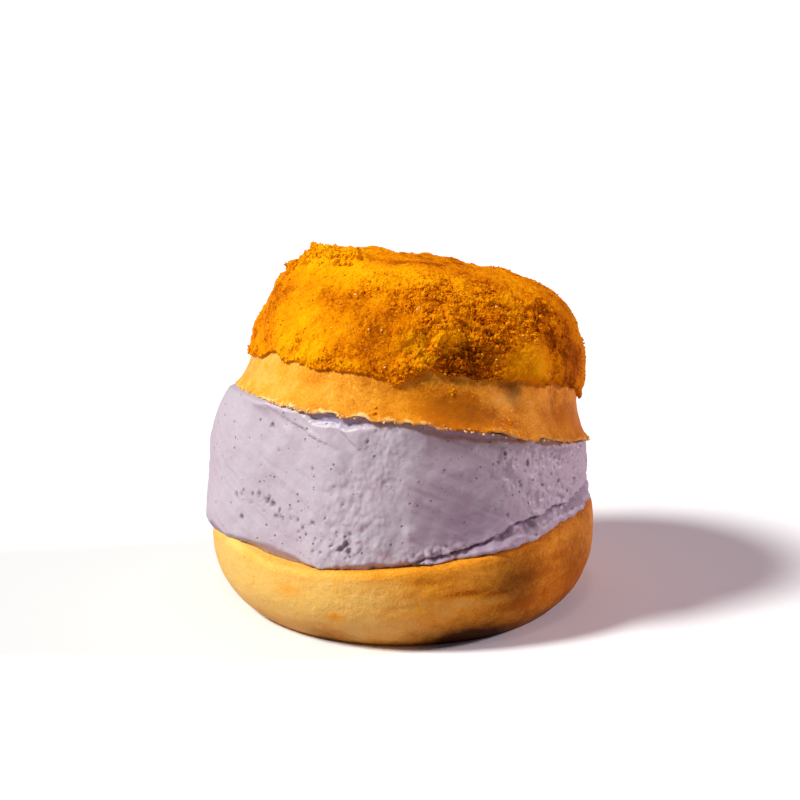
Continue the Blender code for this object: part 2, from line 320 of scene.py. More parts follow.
def point_areas(mesh: Mesh) -> Array:
    """Shares the mesh's area out to its points.

    Args:
        mesh: the mesh.

    Returns:
        The area round each point.
    """
    areas = np.zeros(len(mesh.vertices))
    corners = read(mesh.polygons, "loop_total", kind=np.int32)
    sizes = np.array([face.area for face in mesh.polygons])
    np.add.at(areas, read(mesh.loops, "vertex_index", kind=np.int32), np.repeat(sizes / corners, corners))
    return areas


def add_piece(
    name: str, mesh: Mesh, finish: Material, node: str = "", smooth: bool = True
) -> None:
    """Puts a finished mesh in the scene, on the bun's body.

    Args:
        name: the piece's name.
        mesh: its mesh, in world places.
        finish: its material.
        node: the CAD node that it stands for, if any.
        smooth: whether its faces are shaded as one smooth surface.
    """
    mesh.name = name
    if smooth:
        mesh.shade_smooth()
    mesh.materials.append(finish)
    piece = bpy.data.objects.new(name, mesh)
    bpy.context.scene.collection.objects.link(piece)
    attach(piece, BODY)
    if node:
        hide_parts(node)
    log.info("%s: %d points, %d faces", name, len(mesh.vertices), len(mesh.polygons))


# Finishes


class NodeSheet:
    """A node tree, with short calls that add and join nodes."""

    def __init__(self, tree: bpy.types.NodeTree) -> None:
        """Keeps the tree that the calls add to."""
        self.tree = tree

    def add(self, kind: str, inputs: dict | None = None, **settings: object) -> bpy.types.Node:
        """Adds a node.

        Args:
            kind: the node's type.
            inputs: for each input, by name or number, a value or the socket that feeds it.
            settings: the node's properties.

        Returns:
            The node.
        """
        node = self.tree.nodes.new(kind)
        for name, value in settings.items():
            setattr(node, name, value)
        for name, value in (inputs or {}).items():
            if isinstance(value, Socket):
                self.tree.links.new(value, node.inputs[name])
            else:
                node.inputs[name].default_value = value
        return node

    def feed(self, shader: bpy.types.Node, **sockets: Socket) -> None:
        """Joins sockets to a shader's inputs, whose names have _ for a space."""
        for name, socket in sockets.items():
            self.tree.links.new(socket, shader.inputs[name.replace("_", " ")])

    def place(self) -> Socket:
        """The place on the object."""
        return self.add("ShaderNodeTexCoord").outputs["Object"]

    def mask(self, name: str) -> Socket:
        """The number that the mesh stores under a name."""
        return self.add("ShaderNodeAttribute", attribute_name=name).outputs["Fac"]

    def sum(self, kind: str, first: Socket | float, second: Socket | float) -> Socket:
        """A Math node of two inputs."""
        return self.add("ShaderNodeMath", {0: first, 1: second}, operation=kind).outputs[0]

    def plus(self, first: Socket | float, second: Socket | float) -> Socket:
        """The sum of two values."""
        return self.sum("ADD", first, second)

    def times(self, first: Socket | float, second: Socket | float) -> Socket:
        """The product of two values."""
        return self.sum("MULTIPLY", first, second)

    def noise(self, place: Socket, scale: Socket | float, detail: float = 3, rough: float = 0.55) -> Socket:
        """Noise from 0 to 1, whose scale is in lumps a metre."""
        inputs = {"Vector": place, "Scale": scale, "Detail": detail, "Roughness": rough}
        return self.add("ShaderNodeTexNoise", inputs).outputs["Fac"]

    def span(
        self, value: Socket, low: float = 0.0, high: float = 1.0, to_low: float = 0.0, to_high: float = 1.0
    ) -> Socket:
        """A value mapped from one range to another, and held inside it."""
        inputs = {0: value, 1: low, 2: high, 3: to_low, 4: to_high}
        return self.add("ShaderNodeMapRange", inputs).outputs[0]

    def specks(self, place: Socket, scale: float, depth: float) -> Socket:
        """Fine specks from minus the depth to the depth, whose scale is in specks a metre."""
        return self.span(self.noise(place, scale, 2), 0.3, 0.7, -depth, depth)

    def ramp(self, value: Socket, stops: tuple[tuple[float, Colour], ...]) -> Socket:
        """Reads a colour along a row of colours.

        Args:
            value: how far along, from 0 to 1.
            stops: the place and colour of each stop.

        Returns:
            The colour.
        """
        node = self.add("ShaderNodeValToRGB", {"Fac": value})
        points = node.color_ramp.elements
        while len(points) < len(stops):
            points.new(1.0)
        for point, (position, colour) in zip(points, stops):
            point.position = position
            point.color = (*colour, 1)
        return node.outputs["Color"]

    def blend(self, share: Socket, first: Socket | Colour, second: Socket | Colour) -> Socket:
        """Mixes two colours.

        Args:
            share: the second colour's share; all of it at 1.
            first: the first colour.
            second: the second colour.

        Returns:
            The mix.
        """
        first = first if isinstance(first, Socket) else (*first, 1)
        second = second if isinstance(second, Socket) else (*second, 1)
        inputs = {0: share, 6: first, 7: second}
        return self.add("ShaderNodeMix", inputs, data_type="RGBA").outputs[2]

    def group(self, tree: bpy.types.NodeTree, **inputs: Socket | float) -> bpy.types.NodeOutputs:
        """A shared shader group with its inputs set, as its outputs by name."""
        return self.add("ShaderNodeGroup", inputs, node_tree=tree).outputs

    def dots(self, place: Socket, scale: float, size: float) -> Socket:
        """Sparse round dots, 1 in their middles and 0 outside.

        Args:
            place: the place on the object.
            scale: cells a metre.
            size: the largest dot's radius, in metres.

        Returns:
            The mask.
        """
        middle = 0.55
        away = self.add("ShaderNodeTexVoronoi", {"Vector": place, "Scale": scale}).outputs["Distance"]
        return self.span(away, size * scale, middle * size * scale)

    def bump(self, height: Socket, distance: float, strength: float) -> Socket:
        """A normal from a height, in metres of relief."""
        inputs = {"Height": height, "Distance": distance, "Strength": strength}
        return self.add("ShaderNodeBump", inputs).outputs["Normal"]


def new_group(name: str, inputs: tuple[str, ...], outputs: tuple[str, ...]) -> NodeSheet:
    """Starts a shader group that reads a place.

    Args:
        name: the group's name.
        inputs: the names of its inputs beside the place, which are numbers.
        outputs: the names of its outputs, which are numbers.

    Returns:
        A sheet of its nodes.
    """
    group = bpy.data.node_groups.new(name, "ShaderNodeTree")
    group.interface.new_socket("Vector", in_out="INPUT", socket_type="NodeSocketVector")
    for side, names in (("INPUT", inputs), ("OUTPUT", outputs)):
        for socket in names:
            group.interface.new_socket(socket, in_out=side, socket_type="NodeSocketFloat")
    return NodeSheet(group)


def mottle_group() -> bpy.types.NodeTree:
    """Builds the shader group for uneven baking: broad clouds with finer ones in them.

    Returns:
        The group, which puts out a mask round 0.
    """
    fine_share, middle = 0.6, 0.8
    sheet = new_group("mottle", ("Broad", "Fine", "Amount"), ("Mask",))
    inputs = sheet.add("NodeGroupInput").outputs
    broad = sheet.noise(inputs["Vector"], inputs["Broad"], detail=4)
    fine = sheet.noise(inputs["Vector"], inputs["Fine"], detail=5, rough=0.65)
    clouds = sheet.plus(broad, sheet.times(fine, fine_share))
    centred = sheet.sum("SUBTRACT", clouds, middle)
    sheet.add("NodeGroupOutput", {"Mask": sheet.times(centred, inputs["Amount"])})
    return sheet.tree


def grain_group() -> bpy.types.NodeTree:
    """Builds the shader group for crumb: small rounded grains with pores between them.

    Returns:
        The group, which puts out a height and a mask of the pores.
    """
    finer, fine_share = 2.5, 0.5
    pore_top, pore_floor = 0.95, 0.6
    sheet = new_group("grain", ("Grains",), ("Height", "Pores"))
    inputs = sheet.add("NodeGroupInput").outputs
    vector = {"Vector": inputs["Vector"], "Scale": inputs["Grains"]}
    lumps = sheet.add("ShaderNodeTexVoronoi", vector, feature="SMOOTH_F1").outputs["Distance"]
    fine = sheet.noise(inputs["Vector"], sheet.times(inputs["Grains"], finer))
    height = sheet.plus(sheet.sum("SUBTRACT", 1.0, lumps), sheet.times(fine, fine_share))
    sheet.add("NodeGroupOutput", {"Height": height, "Pores": sheet.span(height, pore_top, pore_floor)})
    return sheet.tree


@dataclass
class Effects:
    """The shader groups that several finishes share."""

    mottle: bpy.types.NodeTree
    grain: bpy.types.NodeTree


def fresh_material(name: str, settings: dict) -> tuple[Material, NodeSheet, bpy.types.Node]:
    """Makes a material whose Principled shader has the given plain values.

    Args:
        name: the material's name.
        settings: for each shader input, its value.

    Returns:
        The material, its node sheet and its shader.
    """
    material = bpy.data.materials.new(name)
    material.use_nodes = True
    sheet = NodeSheet(material.node_tree)
    shader = material.node_tree.nodes["Principled BSDF"]
    for key, value in settings.items():
        shader.inputs[key].default_value = value
    return material, sheet, shader


@dataclass(frozen=True)
class BreadSkin:
    """Baked bread skin: pale gold to brown, mottled, with fine pores and a soft sheen."""

    name: str
    pale: Colour
    gold: Colour
    brown: Colour
    # burnt bread, and also painted shadow and shade, which the char mask mixes in
    burnt_and_shade: Colour = (0.055, 0.018, 0.004)
    amber: Colour = (0.95, 0.36, 0.01)
    torn: Colour = (0.97, 0.80, 0.47)
    # lumps a metre
    clouds: float = 70.0
    wisps: float = 520.0
    specks: float = 2100.0
    spots: float = 420.0
    wrinkles: float = 420.0
    pores: float = 2300.0
    # how strongly each shows
    mottled: float = 1.5
    speckled: float = 0.34
    spotted: float = 0.45
    spot_size: float = 0.4 * MM
    relief: float = 0.42 * MM

    def material(self, effects: Effects) -> Material:
        """Builds the material, which reads the masks tone, char, amber and bare; char mixes in the burnt
        colour for burnt bread and for painted shadows.

        Args:
            effects: the shared shader groups.

        Returns:
            The material.
        """
        settings = {
            "Specular IOR Level": 0.16,
            "Specular Tint": (1.0, 0.6, 0.15, 1),
            "Subsurface Weight": 0.08,
            "Subsurface Radius": (1.0, 0.45, 0.15),
            "Subsurface Scale": 1.2 * MM,
        }
        material, sheet, shader = fresh_material(self.name, settings)
        place = sheet.place()
        mixed = {"Vector": place, "Broad": self.clouds, "Fine": self.wisps, "Amount": self.mottled}
        mottle = sheet.group(effects.mottle, **mixed)["Mask"]
        tone = sheet.plus(sheet.mask("tone"), mottle)
        tone = sheet.plus(tone, sheet.specks(place, self.specks, self.speckled))
        pale_spots = sheet.times(sheet.dots(place, self.spots, self.spot_size), self.spotted)
        tone = sheet.sum("SUBTRACT", tone, pale_spots)
        stops = ((0.0, self.pale), (0.5, self.gold), (1.0, self.brown))
        colour = sheet.ramp(sheet.span(tone, -1.0), stops)
        colour = sheet.blend(sheet.span(sheet.mask("amber")), colour, self.amber)
        colour = sheet.blend(sheet.span(sheet.mask("bare")), colour, self.torn)
        # the char mask darkens towards the burnt colour: burnt bread at the lower half's foot, painted shade
        # on its right side, and painted shadows on the upper half
        char_and_shade = sheet.mask("char_and_shade")
        ragged = sheet.plus(char_and_shade, sheet.times(mottle, 0.5))
        ragged = sheet.times(ragged, sheet.span(char_and_shade, 0.02, 0.2))
        colour = sheet.blend(sheet.span(ragged, 0.05), colour, self.burnt_and_shade)
        wrinkles = sheet.noise(place, self.wrinkles, detail=5, rough=0.65)
        pores = sheet.noise(place, self.pores, detail=2)
        height = sheet.plus(wrinkles, sheet.times(pores, 0.35))
        roughness = sheet.span(mottle, -0.3, 0.3, 0.4, 0.58)
        normal = sheet.bump(height, self.relief, 0.8)
        sheet.feed(shader, Base_Color=colour, Roughness=roughness, Normal=normal)
        return material


@dataclass(frozen=True)
class CookieBake:
    """Baked cookie crust: sandy yellow where thin and dry, caramel where the sugar melted, with painted shade
    in its cracks, pits and creases.
    """

    name: str
    sandy: Colour = (0.98, 0.445, 0.0022)
    golden: Colour = (0.90, 0.33, 0.0015)
    caramel: Colour = (0.76, 0.212, 0.001)
    brown: Colour = (0.37, 0.076, 0.0008)
    # painted shade, near black, in cracks, pits and creases
    crevice_shade: Colour = (0.18, 0.031, 0.0005)
    # lumps a metre
    clouds: float = 170.0
    wisps: float = 900.0
    grains: float = 1700.0
    coarse_grains: float = 780.0
    specks: float = 2600.0
    # how strongly each shows
    mottled: float = 1.9
    speckled: float = 0.36
    # how far painted shade turns the tone browner
    shade_browning: float = 0.8
    coarse_share: float = 1.3
    relief: float = 0.4 * MM

    def material(self, effects: Effects) -> Material:
        """Builds the material, which reads the masks tone, dark and grain; dark is painted shade.

        Args:
            effects: the shared shader groups.

        Returns:
            The material.
        """
        settings = {
            "Roughness": 0.7,
            "Specular IOR Level": 0.04,
            "Specular Tint": (1.0, 0.55, 0.05, 1),
        }
        material, sheet, shader = fresh_material(self.name, settings)
        place = sheet.place()
        mixed = {"Vector": place, "Broad": self.clouds, "Fine": self.wisps, "Amount": self.mottled}
        mottle = sheet.group(effects.mottle, **mixed)["Mask"]
        fine = sheet.group(effects.grain, Vector=place, Grains=self.grains)
        coarse = sheet.group(effects.grain, Vector=place, Grains=self.coarse_grains)
        rough, dark = sheet.mask("grain"), sheet.mask("dark")
        pores = sheet.plus(fine["Pores"], coarse["Pores"])
        pores = sheet.times(pores, sheet.span(rough, to_low=0.2, to_high=0.4))
        tone = sheet.plus(sheet.plus(sheet.mask("tone"), mottle), pores)
        # painted shade: the dark mask turns the tone browner, and then towards the crevice colour
        tone = sheet.plus(tone, sheet.times(dark, self.shade_browning))
        tone = sheet.plus(tone, sheet.specks(place, self.specks, self.speckled))
        stops = ((0.0, self.sandy), (0.4, self.golden), (0.72, self.caramel), (1.0, self.brown))
        colour = sheet.ramp(sheet.span(tone, -1.0), stops)
        colour = sheet.blend(sheet.span(dark), colour, self.crevice_shade)
        height = sheet.plus(fine["Height"], sheet.times(coarse["Height"], self.coarse_share))
        height = sheet.times(height, sheet.span(rough, to_low=0.5, to_high=1.1))
        sheet.feed(shader, Base_Color=colour, Normal=sheet.bump(height, self.relief, 0.9))
        return material


@dataclass(frozen=True)
class WhippedCream:
    """Stiff whipped cream, greyed purple, smoothed with a knife and dotted with small pits."""

    name: str = "cream_whipped"
    base: Colour = (0.595, 0.548, 0.59)
    shade: Colour = (0.52, 0.43, 0.50)
    # colours of painted shade: under the lip and the slab's edge, and dark in the pits
    deep_shade: Colour = (0.30, 0.21, 0.295)
    pit: Colour = (0.15, 0.095, 0.15)
    airy: Colour = (0.70, 0.625, 0.685)
    # painted shade in the recess under the rim
    violet_shade: Colour = (0.42, 0.37, 0.53)
    # lumps a metre
    clouds: float = 90.0
    wisps: float = 700.0
    grains: float = 900.0
    # each kind of pinhole's cells a metre and radius
    pinholes: tuple[Row, ...] = in_mm((330.0, 0.36), (560.0, 0.16))
    pinhole_share: float = 0.65
    relief: float = 0.4 * MM

    def material(self, effects: Effects) -> Material:
        """Builds the material, which reads the masks pit, deep, under and rough; pit, deep and under carry
        painted shade.

        Args:
            effects: the shared shader groups.

        Returns:
            The material.
        """
        settings = {
            "Specular IOR Level": 0.55,
            "Subsurface Weight": 0.1,
            "Subsurface Radius": (1.0, 0.8, 0.95),
            "Subsurface Scale": 0.9 * MM,
        }
        material, sheet, shader = fresh_material(self.name, settings)
        place = sheet.place()
        mixed = {"Vector": place, "Broad": self.clouds, "Fine": self.wisps, "Amount": 1.0}
        mottle = sheet.group(effects.mottle, **mixed)["Mask"]
        rough = sheet.mask("rough")
        dots = sheet.sum("MAXIMUM", *(sheet.dots(place, *kind) for kind in self.pinholes))
        hole = sheet.sum("MAXIMUM", sheet.mask("pit"), sheet.times(dots, self.pinhole_share))
        colour = sheet.blend(sheet.span(mottle, -0.4, 0.4), self.base, self.shade)
        colour = sheet.blend(sheet.span(rough, 0.3, to_high=0.55), colour, self.airy)
        # painted shade under the lip and ledge, in the recess under the rim, and in the pits and pinholes
        colour = sheet.blend(sheet.span(sheet.mask("deep_shade")), colour, self.deep_shade)
        colour = sheet.blend(sheet.span(sheet.mask("under")), colour, self.violet_shade)
        colour = sheet.blend(sheet.span(hole), colour, self.pit)
        fine = sheet.noise(place, self.grains, detail=4, rough=0.6)
        swell = sheet.span(rough, to_low=0.4, to_high=1.5)
        height = sheet.sum("SUBTRACT", sheet.times(fine, swell), dots)
        roughness = sheet.span(rough, 0.1, 0.9, 0.42, 0.2)
        normal = sheet.bump(height, self.relief, 0.8)
        sheet.feed(shader, Base_Color=colour, Roughness=roughness, Normal=normal)
        return material


@dataclass(frozen=True)
class PlainCrumb:
    """Torn bread crumb or a sugar grain: one pale colour with fine grain."""

    name: str
    light: Colour
    dark: Colour
    rough: float
    gloss: float
    grains: float = 2500.0
    pore_share: float = 0.3
    relief: float = 0.15 * MM

    def material(self, effects: Effects) -> Material:
        """Builds the material, which reads the mask tone.

        Args:
            effects: the shared shader groups.

        Returns:
            The material.
        """
        settings = {"Roughness": self.rough, "Specular IOR Level": self.gloss}
        material, sheet, shader = fresh_material(self.name, settings)
        grain = sheet.group(effects.grain, Vector=sheet.place(), Grains=self.grains)
        share = sheet.plus(sheet.mask("tone"), sheet.times(grain["Pores"], self.pore_share))
        colour = sheet.blend(sheet.span(share), self.light, self.dark)
        sheet.feed(shader, Base_Color=colour, Normal=sheet.bump(grain["Height"], self.relief, 0.7))
        return material


# The bun's halves


@dataclass
class LowerBun:
    """The lower half: flat foot, round side, rolled shoulder and a cut face that rises to the right."""

    centre: float = 0.7 * MM
    wide: float = 48.7 * MM
    widest: float = 19.4 * MM
    depth: float = 27.3 * MM
    fullness: float = 2.6
    crown: float = 40.0 * MM
    cut_height: float = 21.8 * MM
    cut_rise: float = math.tan(math.radians(5.1))
    # turn, reach, rise and width of each swelling of the cut face
    swells: tuple[Row, ...] = in_mm((-154, 46, 3.8, 11), (-28, 46, 1.9, 11), (70, 44, 1.2, 18))
    shoulder_height: float = 1.6 * MM
    shoulder_width: float = 1.5 * MM
    shoulder_corners: Row = (15, 30, 45, 60, 75, 90)
    foot: float = 20 * MM
    face_rings: Row = (14 * MM, 28 * MM, 40 * MM)
    columns: int = 640
    levels: int = 60
    dents: tuple[Ripple, ...] = (Ripple(0.35 * MM, 24 * MM), Ripple(0.1 * MM, 5 * MM, shift=0.1))
    wrinkles: tuple[Ripple, ...] = (Ripple(0.4 * MM, 16 * MM, 2), Ripple(0.15 * MM, 5 * MM))
    creases: Ripple = Ripple(1.0, 18 * MM, 2, 0.2)
    crease_depth: float = 0.2 * MM
    crease_width: float = 0.15
    # middle turn and spread of the wrinkled side, and of the right side, whose streaks are browner and whose
    # shoulder takes more painted shade
    wrinkled: Row = (-55, 40)
    browned_and_shaded: Row = (-50, 50)
    # how much longer wrinkles and streaks are than they are high
    wrinkle_length: float = 3
    streak_length: float = 2.6
    streaks: tuple[Ripple, ...] = (Ripple(1.0, 16 * MM), Ripple(0.35, 6 * MM, shift=0.1))
    streaked: float = 0.3
    foot_tone: float = 0.35
    foot_fade: float = 3.0 * MM
    under_char: float = 0.35
    tones: tuple[Patch, ...] = patches(
        (-148, 12, 30, 18, -1.05), (-106, 8, 18, 13, -0.65), (-56, 16, 20, 11, 0.4),
        (-22, 14, 26, 16, 0.7), (-113, 4, 5, 3.5, 0.55), (-104, 5, 1.2, 2.5, -1.1),
        (-72, 15.5, 5, 0.8, 1.3), (-63, 14.6, 4, 0.6, 0.9), (-56, 10.5, 6, 1.6, 1),
        (-66, 12.6, 8, 0.7, -0.4), (-100, 15, 6, 2, -0.3), (-88, 10, 5, 3, -0.35),
        (-76, 11.5, 5, 4, -0.5), (-90, 6, 7, 4, -0.35), (-84, 19, 5, 0.8, 0.5), (-48, 17, 6, 1, 0.5),
        (-148, 20.5, 3, 1.2, -0.9), (-152, 19, 0.8, 2.4, -0.9), (-143, 15.5, 1.2, 1.4, -0.8),
        (20, 12, 30, 10, 0.3), (95, 12, 30, 12, -0.2),
    )
    # burnt bread round the foot, and painted shade that darkens the shaded right side higher up
    chars_and_shades: tuple[Patch, ...] = patches(
        (-70, 1.5, 12, 5, 1.2), (-59, 16, 9, 9, 0.66), (-25, 20, 15, 12, 0.26), (-20, 1, 30, 4, 0.6),
        (-113, 2, 8, 3, 0.4), (90, 1, 60, 4, 0.5), (170, 1, 30, 3, 0.35),
    )
    ambers: tuple[Patch, ...] = patches(
        (-109.7, 9.1, 2.2, 1.2, 0.9), (-124, 14.2, 4, 1.8, 0.55), (40, 10, 4, 1.8, 0.5),
    )

    def radius(self, height: Array) -> Array:
        """Works out the side's radius.

        Args:
            height: heights above the floor.

        Returns:
            The radius at each height.
        """
        drop = np.clip((self.widest - height) / self.depth, 0, 1)
        below = self.wide * (1 - drop**self.fullness) ** (1 / self.fullness)
        rise = np.clip((height - self.widest) / self.crown, 0, 1)
        return np.where(height > self.widest, self.wide * np.sqrt(1 - rise**2), below)

    def rim(self) -> float:
        """Radius of the side at the cut."""
        return float(self.radius(np.array(self.cut_height)))

    def cut(self, x: Array, y: Array) -> Array:
        """Works out where the cut face lies.

        Args:
            x: how far right of this half's axis.
            y: how far behind it.

        Returns:
            The face's height at each place.
        """
        height = self.cut_height + x * self.cut_rise
        for turn, reach, rise, width in self.swells:
            angle = math.radians(turn)
            distance = np.hypot(x - reach * math.cos(angle), y - reach * math.sin(angle))
            height = height + rise * hill(distance, width * math.sqrt(2))
        return height

    def shoulder_drop(self, reach: Array) -> Array:
        """Works out how the shoulder rolls off.

        Args:
            reach: distances from the axis.

        Returns:
            How far the shoulder lies under the cut face at each.
        """
        steepest = 0.98
        share = np.clip((reach - self.rim() + self.shoulder_width) / self.shoulder_width, 0, steepest)
        return self.shoulder_height * (1 - np.sqrt(1 - share**2))

    def outline(self) -> Outline:
        """Draws the half's outline.

        Returns:
            (radius, height) points from the foot's middle over the side to the cut face's middle.
        """
        straight = self.cut_height - self.shoulder_height
        side = [straight * level / self.levels for level in range(self.levels + 1)]
        points = [(0.0, 0.0), (self.foot, 0.0)] + [(float(self.radius(np.array(z))), z) for z in side]
        for corner in self.shoulder_corners:
            angle = math.radians(corner)
            inward = self.shoulder_width * (1 - math.cos(angle))
            drop = self.shoulder_height * (1 - math.sin(angle))
            points.append((self.rim() - inward, self.cut_height - drop))
        points += [(radius, self.cut_height) for radius in reversed(self.face_rings)]
        return points + [(0.0, self.cut_height)]

    def relief(self, x: Array, y: Array, height: Array) -> Array:
        """Works out the side's dents, and its wrinkles on the right.

        Args:
            x: how far right of this half's axis.
            y: how far behind it.
            height: heights above the floor.

        Returns:
            How far each point stands out.
        """
        level = np.column_stack((x, y, height))
        flat = np.column_stack((x, y, self.wrinkle_length * height))
        dent = sum(ripple.at(level) for ripple in self.dents)
        wrinkle = sum(ripple.at(flat) for ripple in self.wrinkles)
        wrinkle -= self.crease_depth * hill(self.creases.at(flat), self.crease_width)
        return dent + wrinkle * sector(turn_of(x, y), *self.wrinkled)

    def place(self, form: Array) -> Array:
        """Lays the turned form's points on the real, uneven half.

        Args:
            form: the turned form's points.

        Returns:
            The real half's points.
        """
        inside = 0.98
        x, y, z = form.T
        radius = np.hypot(x, y)
        height = z * self.cut(x, y) / self.cut_height
        side = (radius > self.face_rings[-1] * inside) & (z > 0)
        stretch = np.where(side, self.radius(height) / self.radius(z), 1)
        fade = np.where(side, np.sqrt(np.sin(math.pi * np.clip(z / self.cut_height, 0, 1))), 0)
        grown = stretch + fade * self.relief(x, y, height) / np.maximum(radius, 1 * MM)
        return np.column_stack((x * grown + self.centre, y * grown, height))

    def build(self, finish: Material) -> None:
        """Models the half and dresses it.

        Args:
            finish: the bread's material.
        """
        mesh = turned(self.outline(), self.columns)
        points = self.place(points_of(mesh))
        put_points(mesh, points)
        x, y, z = points.T
        turn = turn_of(x - self.centre, y)
        radius = np.hypot(x - self.centre, y)
        right = sector(turn, *self.browned_and_shaded)
        flat = np.column_stack((x, y, self.streak_length * z))
        broad, fine = (streak.at(flat) for streak in self.streaks)
        streaks = broad * (0.3 + 0.7 * right) + fine
        # painted shade along the shoulder under the cream's edge, stronger on the right
        over = z - self.cut(x - self.centre, y) + self.shoulder_height
        shoulder_shade = (0.15 + 0.4 * right) * step(over, self.shoulder_width)
        tone = patched(self.tones, turn, z, radius) + self.foot_tone * hill(z, self.foot_fade)
        put_mask(mesh, "tone", tone + shoulder_shade + self.streaked * streaks)
        underneath = (radius < self.radius(np.array(0.0)) - 1 * MM) & (z < 1 * MM)
        char_and_shade = patched(self.chars_and_shades, turn, z, radius) + self.under_char * underneath
        put_mask(mesh, "char_and_shade", char_and_shade)
        put_mask(mesh, "amber", patched(self.ambers, turn, z, radius))
        put_mask(mesh, "bare", np.zeros_like(z))
        add_piece("bread_lower", mesh, finish, "lower_bun")


@dataclass
class UpperFrame:
    """The upper half's own frame, which leans to the right and back, and the dome's shape in it."""

    place_x: float = 3.3 * MM
    place_y: float = -0.5 * MM
    place_z: float = 47.8 * MM
    roll: float = math.radians(9.0)
    pitch: float = math.radians(-10.0)
    wide: float = 40.7 * MM
    tall: float = 37.5 * MM
    fullness: float = 3.3
    flare: float = 4.4 * MM
    flare_height: float = 5.5 * MM
    belly: float = 0.9 * MM
    belly_height: float = 10 * MM
    sag: float = 1.4 * MM
    sag_turn: float = -128
    sag_spread: float = 26
    sag_start: float = 24 * MM
    dents: Ripple = Ripple(0.3 * MM, 22 * MM)

    def matrix(self) -> Matrix:
        """From this frame to the world's."""
        place = Matrix.Translation((self.place_x, self.place_y, self.place_z))
        return place @ Euler((self.pitch, self.roll, 0)).to_matrix().to_4x4()

    def to_world(self, points: Array) -> Array:
        """Points of this frame in the world's."""
        matrix = np.array(self.matrix())
        return points @ matrix[:3, :3].T + matrix[:3, 3]

    def to_local(self, points: Array) -> Array:
        """Points of the world in this frame."""
        matrix = np.array(self.matrix().inverted())
        return points @ matrix[:3, :3].T + matrix[:3, 3]

    def radius(self, height: Array) -> Array:
        """Works out the bread's radius.

        Args:
            height: heights above the upper half's cut face.

        Returns:
            The radius at each height.
        """
        share = np.clip(height / self.tall, 0, 1)
        body = self.wide * (1 - share**self.fullness) ** (1 / self.fullness)
        return body + self.flare * np.exp(-height / self.flare_height) * (1 - share)

    def droop(self, x: Array, y: Array) -> Array:
        """Works out how the cut face droops towards its rim.

        Args:
            x: how far right of this half's axis.
            y: how far behind it.

        Returns:
            How far the face droops at each place.
        """
        rim = self.wide + self.flare
        outward = np.clip((np.hypot(x, y) - self.sag_start) / (rim - self.sag_start), 0, None)
        return self.sag * outward * sector(turn_of(x, y), self.sag_turn, self.sag_spread)

    def cut(self, x: Array, y: Array) -> Array:
        """Works out where the cut face lies.

        Args:
            x: how far right in the world.
            y: how far back in the world.

        Returns:
            The face's world height over each place.
        """
        normal = self.matrix().to_3x3() @ Vector((0, 0, 1))
        right, back = x - self.place_x, y - self.place_y
        return self.place_z - (normal.x * right + normal.y * back) / normal.z - self.droop(right, back)

    def uneven(self, form: Array) -> Array:
        """Lays points of the even dome on the real one.

        Args:
            form: points of the even dome.

        Returns:
            Where they lie on the real dome.
        """
        x, y, z = form.T
        radius = np.hypot(x, y)
        lifted = (z > 0) & (radius > 0)
        grown = 1 + np.where(lifted, self.dents.at(form) / np.maximum(radius, 1 * MM), 0)
        shift = np.where(lifted, self.belly * hill(z - self.belly_height, self.belly_height), 0)
        return np.column_stack((x * grown - shift, y * grown, z - self.droop(x, y) * (1 - z / self.tall)))


